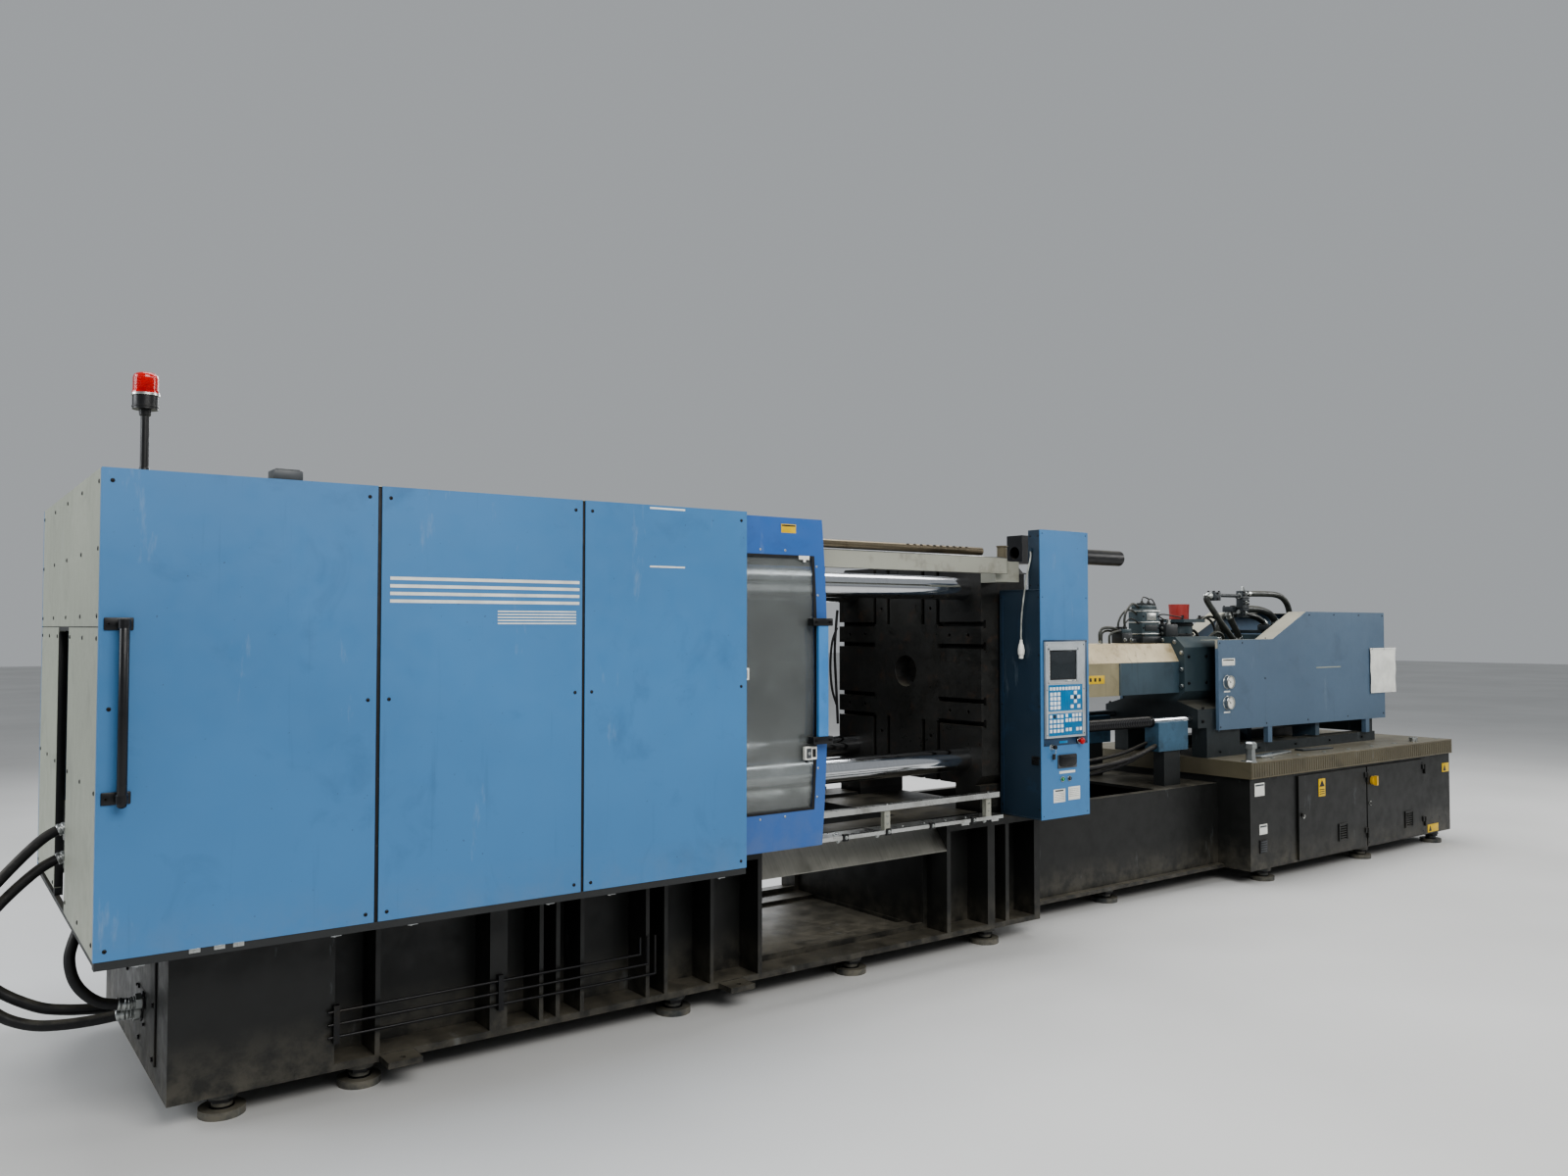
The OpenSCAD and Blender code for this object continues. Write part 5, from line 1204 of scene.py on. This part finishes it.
# flange block, upright valve block, small block
p.box(2600, 2690, -185, -115, 2073, 2141, r=4, m=3)
for x in (2612, 2678):
    for y in (-175, -125):
        p.socket((x, y, 2141), "z", 11, 1, 2, 4, h=9)
for z in (2084, 2130):
    p.socket((2645, -185, z), "y", 10, -1, 2, 4, h=8)
p.box(3000, 3090, -180, -119, 1941, 2157, r=4, m=3)
p.box(2994, 3096, -184, -116, 2096, 2104, r=2, m=0)
p.box(2994, 3096, -184, -116, 2020, 2028, r=2, m=0)
for z in (1962, 1990, 2050, 2074, 2122, 2146):
    for x in (3012, 3078):
        p.socket((x, -180, z), "y", 9, -1, 2, 4, h=7)
for z in (1975, 2062, 2134):
    p.lathe((3045, -180, z), "y", [(0, 15), (-4, 15), (-6, 11), (-16, 11), (-18, 8), (-18, 0)], 6, 1)
p.lathe((3045, -150, 2157), "z", [(0, 20), (10, 20), (12, 14), (30, 14), (34, 9), (34, 0)], 6, 1)
p.cyl((3000, -150, 1985), "x", -22, 18, n=6, m=1)
p.box(2945, 3060, -120, -28, 1985, 2030, r=4, m=3)
for x in (2956, 3050):
    for y in (-110, -38):
        p.socket((x, y, 2030), "z", 9, 1, 2, 4, h=7)
# manifolds under the pipes
p.box(2560, 3180, -180, 90, 1666, 1730, r=5, m=3)
for x in (2600, 2720, 2840, 2900, 3060, 3160):
    for y in (-165, 75):
        p.socket((x, y, 1730), "z", 11, 1, 2, 4, h=9)
for pts, r in PIPES.values():
    for e in (pts[0], pts[-1]):
        if abs(e[2] - 1729) < 3 or abs(e[2] - 1879) < 3:
            p.lathe((e[0], e[1], e[2]), "z", [(0, r + 15), (7, r + 15), (9, r + 11), (9, r + 2)], 32, 0)
p.box(3640, 3800, -180, 90, 1836, 1880, r=4, m=3)
for x in (3652, 3788):
    for y in (-168, 78):
        p.socket((x, y, 1880), "z", 10, 1, 2, 4, h=8)
p.box(3690, 3750, -446.8, 446.8, 1810, 1837, r=3, m=3)
p.build()

p = Piece("carriage_motor", IC, "machine_paint", [mach_m, dark_steel_m, zinc_m, black_m, hyd_m, silver_m])
p.box(1800, 2010, -100, 30, 1790, 2000, r=9, m=0)
for z in (1812, 1900, 1984):
    p.box(1796, 2014, -103.5, 33.5, z - 5, z + 5, r=2.4, m=5)
p.box(1830, 1980, -106, -100, 1834, 1880, r=2, m=4)
p.box(1850, 1960, -106, -100, 1916, 1968, r=2, m=5)
for x in (1812, 1998):
    for z in (1800, 1856, 1944):
        p.socket((x, -100, z), "y", 9, -1, 1, 3, h=6)
p.box(1816, 1994, -84, 14, 1998, 2030, r=6, m=0)
p.box(1812, 1998, -88, 18, 1994, 2001, r=2, m=4)
for x in (1826, 1984):
    for y in (-76, 6):
        p.socket((x, y, 2030), "z", 9, 1, 1, 3, h=7)
for x in (1860, 1940):
    p.box(x, x + 46, -70, 0, 2030, 2047, r=4, m=4)
    p.lathe((x + 23, -35, 2047), "z", [(0, 15), (4, 15), (6, 10), (14, 9), (16, 6), (16, 0)], 20, 3)
p.box(1790, 2019, -110, 40, 1742, 1791, r=4, m=4)
for x in (1802, 2005):
    for y in (-99, 29):
        p.socket((x, y, 1791), "z", 11, 1, 1, 3, h=9)
p.box(2009, 2051, -70, 20, 1795, 1860, r=4, m=4)
# low valve block with its solenoids
p.box(1560, 1680, -100, 0, 1742, 1820, r=4, m=4)
p.box(1679, 1791, -80, -10, 1742, 1775, r=3, m=4)
for y in (-82, -50, -18):
    p.box(1566, 1676, y - 13, y + 13, 1819, 1850, r=4, m=0 if y != -50 else 3)
    p.lathe((1560, y, 1834), "x", [(0, 11), (-24, 11), (-27, 8), (-27, 0)], 20, 3)
    p.box(1598, 1632, y - 10, y + 10, 1849, 1866, r=3, m=3)
for x in (1584, 1656):
    p.lathe((x, -100, 1768), "y", [(0, 14), (-4, 14), (-6, 10), (-18, 10), (-18, 0)], 6, 2)
# block on the housing, in front of the feed throat
p.box(2050, 2200, -130, 110, 1790, 1885, r=5, m=4)
for x in (2066, 2184):
    for y in (-118, -10, 98):
        p.socket((x, y, 1885), "z", 11, 1, 1, 3, h=9)
for y in (-100, -40, 30, 80):
    p.lathe((2125, y, 1885), "z", [(0, 17), (5, 17), (8, 12), (22, 12), (24, 16), (34, 16), (36, 12), (36, 0)], 20, 5 if y in (-100, 30) else 3)
for z in (1815, 1855):
    for y in (-95, -25, 55):
        p.lathe((2050, y, z), "x", [(0, 13), (-4, 13), (-6, 9), (-16, 9), (-16, 0)], 6, 2)
p.build()

p = Piece("carriage_hoses", IC, "hose_rubber", [hyd_hose_m, cable_m, zinc_m])
# arc from the guard to the low block, loops to the motor, small leads
p.tube([(1352, -60, 1741), (1350, -60, 1770), (1350, -60, 1815), (1368, -60, 1845), (1410, -60, 1857), (1480, -58, 1858), (1560, -50, 1846)], 11, 14, 0, k=6)
p.tube([(1430, -85, 1741), (1428, -85, 1775), (1436, -85, 1806), (1470, -84, 1822), (1534, -82, 1834)], 9, 12, 0, k=6)
p.tube([(1420, -20, 1741), (1418, -20, 1790), (1432, -20, 1822), (1480, -19, 1836), (1534, -18, 1834)], 9, 12, 0, k=6)
p.lathe((1352, -60, 1740), "z", [(0, 17), (3, 17), (5, 14), (22, 14), (24, 12)], 6, 2)
p.tube([(1615, -82, 1864), (1606, -84, 1910), (1618, -86, 1965), (1660, -84, 2010), (1712, -74, 2036), (1762, -62, 2034), (1812, -55, 2012)], 9, 12, 0, k=6)
p.tube([(1615, -18, 1864), (1622, -20, 1905), (1646, -26, 1950), (1690, -34, 1985), (1745, -42, 1990), (1800, -46, 1962)], 8, 12, 0, k=6)
p.tube([(1640, -50, 1866), (1668, -52, 1900), (1706, -58, 1925), (1750, -62, 1918), (1800, -66, 1890)], 6, 10, 1, k=6)
p.tube([(1883, -35, 2062), (1895, -30, 2082), (1930, -20, 2092), (1968, -30, 2080), (1963, -35, 2062)], 5, 10, 1, k=6)
p.tube([(1963, -35, 2062), (1975, -36, 2078), (2006, -40, 2072), (2036, -44, 2030), (2060, -50, 1960), (2100, -70, 1924), (2125, -100, 1920)], 5, 10, 1, k=6)
p.tube([(2125, 30, 1920), (2150, 20, 1950), (2200, 0, 1962), (2250, -60, 1948), (2278, -118, 1935)], 5, 10, 1, k=6)
# small hoses between the throat and the pipes
p.tube([(2545, -100, 1912), (2580, -104, 1932), (2650, -110, 1945), (2720, -116, 1930), (2770, -120, 1880), (2800, -124, 1810), (2806, -126, 1730)], 10, 12, 0, k=6)
p.tube([(2545, -50, 1912), (2600, -52, 1936), (2680, -56, 1938), (2740, -64, 1905), (2770, -72, 1840), (2776, -76, 1730)], 10, 12, 0, k=6)
p.tube([(2560, -150, 1760), (2600, -156, 1800), (2660, -160, 1822), (2720, -160, 1810), (2760, -158, 1775), (2770, -156, 1730)], 12, 12, 0, k=6)
p.tube([(2560, 60, 1770), (2620, 66, 1820), (2690, 70, 1835), (2740, 68, 1800), (2750, 66, 1730)], 12, 12, 0, k=6)
p.build()

p = Piece("feed_collar", IC, "red_plastic", [cup_m])
p.ring((2400, 0, 1925), "z", 112, 74.5, 67.5, n=48)
pts = [(0, 71.5), (112, 79), (117, 79), (117, 74), (112, 74), (0, 67.5)]
fs = []
n = 56
rings = []
for t, r in pts:
    rings.append([p.bm.verts.new((2400 + r * math.cos(2 * math.pi * i / n), r * math.sin(2 * math.pi * i / n), 1925.2 + t)) for i in range(n)])
for k in range(len(rings)):
    a, b = rings[k], rings[(k + 1) % len(rings)]
    for i in range(n):
        fs.append(p.bm.faces.new((a[i], a[(i + 1) % n], b[(i + 1) % n], b[i])))
p._set(fs, 0)
p.build()

p = Piece("hopper_flange_parts", IC, "bright_steel", [zinc_m, dark_steel_m, hyd_m])
for a in (-1, 1):
    for b in (-1, 1):
        p.lathe((2400 + a * 110, b * 110, 1925), "z", [(0, 13), (2.5, 13), (2.5, 6), (14, 6), (16, 10), (26, 11), (30, 8), (30, 0)], 16, 1)
p.lathe((2400, 0, 1795), "z", [(0, 112), (12, 112), (16, 106), (16, 101)], 48, 2)
p.lathe((2400, 0, 1870), "z", [(0, 101), (4, 108), (18, 108), (22, 101)], 48, 2)
for i in range(8):
    a = math.pi / 8 + i * math.pi / 4
    p.hexbolt((2400 + 106 * math.cos(a) * 1.0, 106 * math.sin(a), 1811), "z", 7, 1, 1, washer=False)
p.build()

# ---------------------------------------------------------------------------
# cover of the injection unit: gauges, plates, screws, pouch
# ---------------------------------------------------------------------------
CY = -450.0
p = Piece("cover_gauges", IC, "bright_steel", [silver_m, label_m, black_m, grey_d_m, glass_m])
for x, z in ((2350, 1447), (2347, 1291)):
    p.lathe((x, CY, z), "y", [(0, 50), (-3, 52), (-6, 48), (-28, 48), (-33, 51), (-38, 49.5), (-38, 43), (-31, 42.5)], 48, 0)
    p.lathe((x, CY - 30.6, z), "y", [(0, 43), (-0.5, 43), (-0.5, 0)], 48, 1)
    for k in range(13):
        a = math.radians(-135 + 22.5 * k)
        cxx, czz = x + 35 * math.sin(a), z + 35 * math.cos(a)
        p.box(cxx - 0.8, cxx + 0.8, CY - 32.0, CY - 31.0, czz - 4, czz + 4, m=2, rot=("y", math.degrees(a)))
    p.box(x - 1.1, x + 1.1, CY - 32.8, CY - 32.0, z - 8, z + 31, m=2, rot=("y", -52), at=(x, CY - 32.4, z))
    p.lathe((x, CY - 31.1, z), "y", [(0, 5.2), (-2.4, 4.8), (-2.4, 0)], 20, 3)
    p.box(x - 40, x + 40, CY - 1.4, CY, z - 78, z - 66, r=0.5, m=1)
p.build()

p = Piece("cover_fittings", IC, "cover_paint", [cover_m, label_m, dark_steel_m, black_m, white_m, cream_m])
p.box(2242, 2246, CY - 1.6, CY, 1092, 1762, r=0.8)
for x, z in ((2874, 1777), (2866, 1463), (2264, 1742), (2264, 1110), (2880, 1112), (3480, 1112), (4100, 1112), (4700, 1112), (4700, 1960), (4300, 1963), (3900, 1965), (3520, 1962), (2560, 1742)):
    p.button((x, CY, z), "y", 6.5, -1, 2, 3, h=3)
p.box(2290, 2456, CY - 1.6, CY, 1571, 1625, r=0.7, m=1)
p.box(2302, 2444, CY - 2.1, CY - 1.5, 1608, 1616, r=0.2, m=2)
p.box(3613, 3996, CY - 1.2, CY, 1526, 1534, r=0.5, m=5)
for x in (2241.0, 4726.0):
    p.box(x, x + 3, CY - 0.6, CY + 3.2, 1075, 1764, r=0.6)
p.build()

# thin pouch that hangs beside the end of the cover, crumpled
p = Piece("document_pouch", IC, "white_plastic", [label_m, silver_m])
n, m = 22, 26
for side in (0, 1):
    rows = []
    for i in range(n + 1):
        row = []
        for j in range(m + 1):
            u, v = i / n, j / m
            w = 2.0 * math.sin(9.1 * u + 5.0 * v) * math.sin(7.0 * v) + 1.3 * math.sin(21 * u - 13 * v)
            e = min(u, 1 - u, v, 1 - v) * 6
            d = 4.5 * min(1.0, e)
            y = CY - 9 - (w + d if side == 0 else w - d * 0.5)
            row.append(p.bm.verts.new((4474 + 432 * u, y, 1292 + 380 * v)))
        rows.append(row)
    fs = []
    for i in range(n):
        for j in range(m):
            q4 = (rows[i][j], rows[i + 1][j], rows[i + 1][j + 1], rows[i][j + 1])
            fs.append(p.bm.faces.new(q4 if side == 0 else tuple(reversed(q4))))
    p._set(fs, 0)
p.box(4470, 4910, CY - 13, CY - 4, 1664, 1680, r=3, m=0)
for x in (4500, 4700):
    p.lathe((x, CY, 1672), "y", [(0, 7), (-14, 7), (-16, 5), (-16, 0)], 16, 1)
p.build()

# ---------------------------------------------------------------------------
# guard, barrel, housing
# ---------------------------------------------------------------------------
p = Piece("guard_fittings", IC, "cream_paint", [cream_m, yellow_m, dark_steel_m, black_m, mach_m])
p.box(960, 1144, -263.6, -262, 1462, 1520, r=0.7, m=1)
for x in (980, 1030, 1080):
    p.box(x, x + 22, -264.2, -263.5, 1478, 1504, r=0.4, m=3)
for x in (72, 690, 1308):
    for z in (1384, 1590):
        for s in (-1, 1):
            p.button((x + 8, s * 262, z), "y", 6.5, s, 2, 3, h=3)
for x in (700, 1320):
    for s in (-1, 1):
        y0, y1 = sorted((s * 262, s * 264.2))
        p.box(x - 12, x + 12, y0, y1, 1372, 1603, r=0.8, m=4 if x == 1320 else 0)
for x in (200, 620, 1100, 1600, 1900):
    p.button((x, -150, 1738), "z", 7, 1, 2, 3, h=3)
    p.button((x, 150, 1738), "z", 7, 1, 2, 3, h=3)
p.build()

p = Piece("heater_bands", IC, "bright_steel", [bright_m, dark_steel_m, white_m])
for x in (-120, -40) + tuple(100 + 180 * i for i in range(10)):
    L = 62 if x < 0 else 128
    p.ring((x, 0, AZ), "x", L, 104.0, 95.3, n=40, m=0)
    p.box(x + 8, x + L - 8, -12, 12, AZ + 103, AZ + 118, r=2, m=1)
    p.box(x + L / 2 - 16, x + L / 2 + 16, -116, -103, AZ - 16, AZ + 16, r=3, m=2)
p.build()

p = Piece("housing_fittings", IC, "machine_paint", [zinc_m, dark_steel_m, mach_m, black_m])
for y, z in ((-286, 1420), (-286, 1545), (-286, 1670), (286, 1420), (286, 1545), (286, 1670), (-225, 1752), (225, 1752), (-120, 1765), (120, 1765)):
    p.hexbolt((2020, y, z), "x", 16, -1, 0)
for s in (-1, 1):
    for x in (2070, 2290, 2510):
        for z in (1440, 1640):
            p.socket((x, s * 310, z), "y", 14, s, 1, 3, h=10)
    for x in (2080, 2500):
        p.socket((x, s * 420, 1160), "y", 14, s, 1, 3, h=10)
        p.socket((x, s * 420, 1260), "y", 14, s, 1, 3, h=10)
    for k in range(5):
        p.socket((2300 + 520 * k if k < 5 else 0, s * 420, 922), "y", 12, s, 1, 3, h=8)
for x in (2090, 2480):
    pts = [(x, 240 + 24 * math.cos(t), 1828 + 24 * math.sin(t)) for t in [2 * math.pi * i / 20 for i in range(21)]]
    p.tube(pts, 8, 8, 0, k=1, caps=False)
    p.lathe((x, 240, 1760), "z", [(0, 22), (34, 22), (38, 14), (46, 11)], 20, 0)
p.build()

# bellows over the carriage rods, low pressure hoses under them
p = Piece("rod_sleeves", ROOT, "black_plastic", [grip_m, dark_steel_m])
for s in (-1, 1):
    prof = [(0, 31)]
    for k in range(78):
        t = 14 + 18.6 * k
        prof += [(t, 36.5), (t + 9.3, 40.5)]
    prof += [(1478, 36), (1486, 31)]
    p.lathe((60, s * 350, 1180), "x", prof, 24, 0)
    p.ring((60, s * 350, 1180), "x", 16, 43, 31, n=24, m=1)
    p.ring((1528, s * 350, 1180), "x", 16, 43, 31, n=24, m=1)
p.build()
p = Piece("pedestal_hoses", ROOT, "hose_rubber", [hose_m, zinc_m])
for y, z0, dz, r in ((-380, 1030, 120, 17), (-330, 1010, 150, 15), (-300, 1040, 100, 13)):
    p.tube([(60, y, z0), (180, y, z0 - 0.5 * dz), (480, y, z0 - dz), (850, y + 10, z0 - 1.1 * dz), (1250, y, z0 - 0.8 * dz), (1540, y, z0 - 0.25 * dz), (1655, y, z0)], r, 12, 0, k=6)
    p.ring((50, y, z0), "x", 30, r + 5, r - 3, n=20, m=1)
    p.ring((1632, y, z0), "x", 30, r + 5, r - 3, n=20, m=1)
p.build()

# ---------------------------------------------------------------------------
# tray and cabinet
# ---------------------------------------------------------------------------
p = Piece("tray_edges", ROOT, "base_paint", [tray_m, zinc_m, dark_steel_m, mach_dark_m])
for s in (-1, 1):
    y0, y1 = sorted((s * 800, s * 803.0))
    p.box(2100, 5178, y0, y1, 874, 883, r=1.4)
    p.box(2100, 5178, y0, y1, 766, 775, r=1.4)
    for k in range(96):
        x = 2112 + 32 * k
        p.box(x, x + 7, y0, y1, 777, 872, r=1.3)
    for k in range(9):
        p.lathe((2160 + 368 * k, s * 700, 884), "z", [(0, 18), (3, 18), (5, 14), (5, 9)], 6, 1)
p.lathe((2144, -770, 884), "z", [(0, 44), (8, 44), (14, 36), (96, 32), (104, 44), (138, 44), (148, 34), (151, 0)], 6, 1)
p.ring((4700, -700, 884), "z", 34, 34, 22, n=28, m=1)
p.box(2420, 2980, -640, -560, 884, 904, r=5, m=1, rot=("z", 9))
p.box(3180, 3560, -600, -520, 884, 897, r=4, m=3, rot=("z", -6))
p.build()

p = Piece("cabinet_plates", ROOT, "white_plastic", [label_m, yellow_m, grey_d_m, black_m])
for x0, x1, z0, z1 in ((2178, 2303, 633, 728), (2234, 2334, 352, 426)):
    p.box(x0, x1, -777.4, -775, z0, z1, r=0.8)
    p.box(x0 + 8, x1 - 8, -778.0, -777.2, z1 - 22, z1 - 10, r=0.2, m=2)
for x0, x1, z0, z1 in ((5045, 5169, 604, 680), (4770, 4960, 110, 176)):
    p.box(x0, x1, -777.4, -775, z0, z1, r=0.8, m=1)
    p.prism([(x0 + 18, z0 + 10), (x0 + 68, z0 + 10), (x0 + 43, z1 - 10)], "y", -778.2, -777.2, 0, 3)
p.box(2232, 2331, -782, -775, 217, 313, r=2, m=3)
for k in range(5):
    p.box(2244, 2319, -784, -781.6, 228 + 17 * k, 235 + 17 * k, r=1, m=2)
for k in range(6):
    x = 2150 + 110 * k
    if x < 2720:
        p.button((x, -775, 752), "y", 6, -1, 2, 3, h=3)
for x in (4740, 4860, 4980, 5100):
    p.button((x, -775, 752), "y", 6, -1, 2, 3, h=3)
    p.button((x, -775, 230), "y", 6, -1, 2, 3, h=3)
p.build()

p = Piece("left_door_plate", "cabinet_door_left", "white_plastic", [yellow_m, black_m, silver_m])
p.box(3013, 3108, -794.2, -792, 565, 700, r=0.8)
p.prism([(3024, 640), (3097, 640), (3060, 690)], "y", -795.0, -794.0, 0, 1)
for k in range(3):
    p.box(3024, 3097, -794.9, -794.0, 582 + 16 * k, 588 + 16 * k, r=0.2, m=1)
p.ring((2798, -792, 436), "y", -6, 17, 9, n=28, m=2)
p.build()
p = Piece("right_door_trim", "cabinet_door_right", "bright_steel", [silver_m, black_m, dark_steel_m])
p.ring((3790, -792, 449), "y", -6, 17, 9, n=28, m=0)
for z in (140, 714):
    for x in (3765, 4655):
        p.button((x, -792, z), "y", 6, -1, 2, 1, h=3)
p.build()

# ---------------------------------------------------------------------------
# clamp side: hanging leads at the platen edge, fasteners of the lower beam, feet
# ---------------------------------------------------------------------------
p = Piece("platen_leads", ROOT, "hose_rubber", [cable_m, zinc_m, tray_m])
p.tube([(-536, 672, 1980), (-541, 678, 1900), (-546, 690, 1700), (-540, 684, 1480), (-536, 676, 1300), (-534, 672, 1200)], 9, 10, 0, k=6)
p.tube([(-536, 676, 1860), (-560, 700, 1760), (-572, 706, 1600), (-562, 700, 1440), (-538, 680, 1330)], 8, 10, 0, k=6)
p.build()
p = Piece("platen_stub", ROOT, "bright_steel", [tray_m, dark_steel_m])
p.lathe((-260, -600, 2252), "z", [(0, 40), (18, 40), (22, 31), (104, 31), (108, 36), (114, 36), (114, 0)], 28, 0)
p.build()
p = Piece("beam_fasteners", ROOT, "bright_steel", [zinc_m, dark_steel_m])
for s in (-1, 1):
    for x in (-1784, -1514, -4040, -3260, -2440, -700):
        p.hexbolt((x, s * 859, 752), "y", 12, s, 0)
for x in (-4700, -4180, -2680, -1560, -530, 900, 2400, 3800, 5000):
    for s in (-1, 1):
        y = 440 if x == 900 else 690
        p.lathe((x, s * y, 52), "z", [(0, 50), (2, 54), (16, 54), (18, 50)], 6, 1)
        p.lathe((x, s * y, 30), "z", [(0, 46), (4, 46), (6, 41)], 24, 1)
p.build()

for _n, (_ob, _len) in CORDS.items():
    _pts, _r, _m = ROUTES[_n]

# ---------------------------------------------------------------------------
# floor and light
# ---------------------------------------------------------------------------
fl = Mat("studio_floor")
fl.color(fl.mix(fl.span(fl.noise(0.35, 4, 0.5), 0.35, 0.65), (0.60, 0.60, 0.59, 1), (0.66, 0.66, 0.65, 1)))
fl.rough(fl.span(fl.noise(1.2, 4, 0.5), 0.3, 0.7, 0.55, 0.7))
fm = bpy.data.meshes.new("studio_floor")
fm.from_pydata([(-60, -60, 0), (60, -60, 0), (60, 60, 0), (-60, 60, 0)], [], [(0, 1, 2, 3)])
fm.materials.append(fl.m)
floor = bpy.data.objects.new("studio_floor", fm)
bpy.context.scene.collection.objects.link(floor)

world = bpy.data.worlds.new("studio_world")
world.use_nodes = True
bg = next(n for n in world.node_tree.nodes if n.type == "BACKGROUND")
bg.inputs["Color"].default_value = (0.80, 0.83, 0.86, 1.0)
bg.inputs["Strength"].default_value = 0.42
bpy.context.scene.world = world


def area(name, loc, target, size, size_y, power, color=(1, 1, 1)):
    d = bpy.data.lights.new(name, "AREA")
    d.shape = "RECTANGLE"
    d.size, d.size_y = size, size_y
    d.energy = power
    d.color = color
    o = bpy.data.objects.new(name, d)
    o.location = loc
    o.rotation_euler = (Vector(target) - Vector(loc)).to_track_quat("-Z", "Y").to_euler()
    bpy.context.scene.collection.objects.link(o)
    return o


area("key_light", (-3.0, -9.0, 7.0), (-0.5, 0.0, 1.2), 7.0, 4.0, 620, (1.0, 0.98, 0.95))
area("top_light", (0.0, 1.0, 8.5), (0.0, 0.0, 0.0), 11.0, 4.0, 500, (1.0, 1.0, 1.0))
area("end_light", (-11.0, 1.5, 4.5), (-4.5, 0.0, 1.2), 4.0, 4.0, 260, (0.95, 0.97, 1.0))
area("rear_light", (2.0, 9.0, 6.0), (0.5, 0.5, 1.2), 8.0, 4.0, 450, (0.96, 0.98, 1.0))
area("far_light", (10.0, -4.0, 5.0), (3.5, 0.0, 1.2), 4.0, 3.0, 260, (1.0, 0.99, 0.97))
bpy.context.scene.view_settings.view_transform = "AgX"
bpy.context.scene.view_settings.look = "AgX - Medium High Contrast"
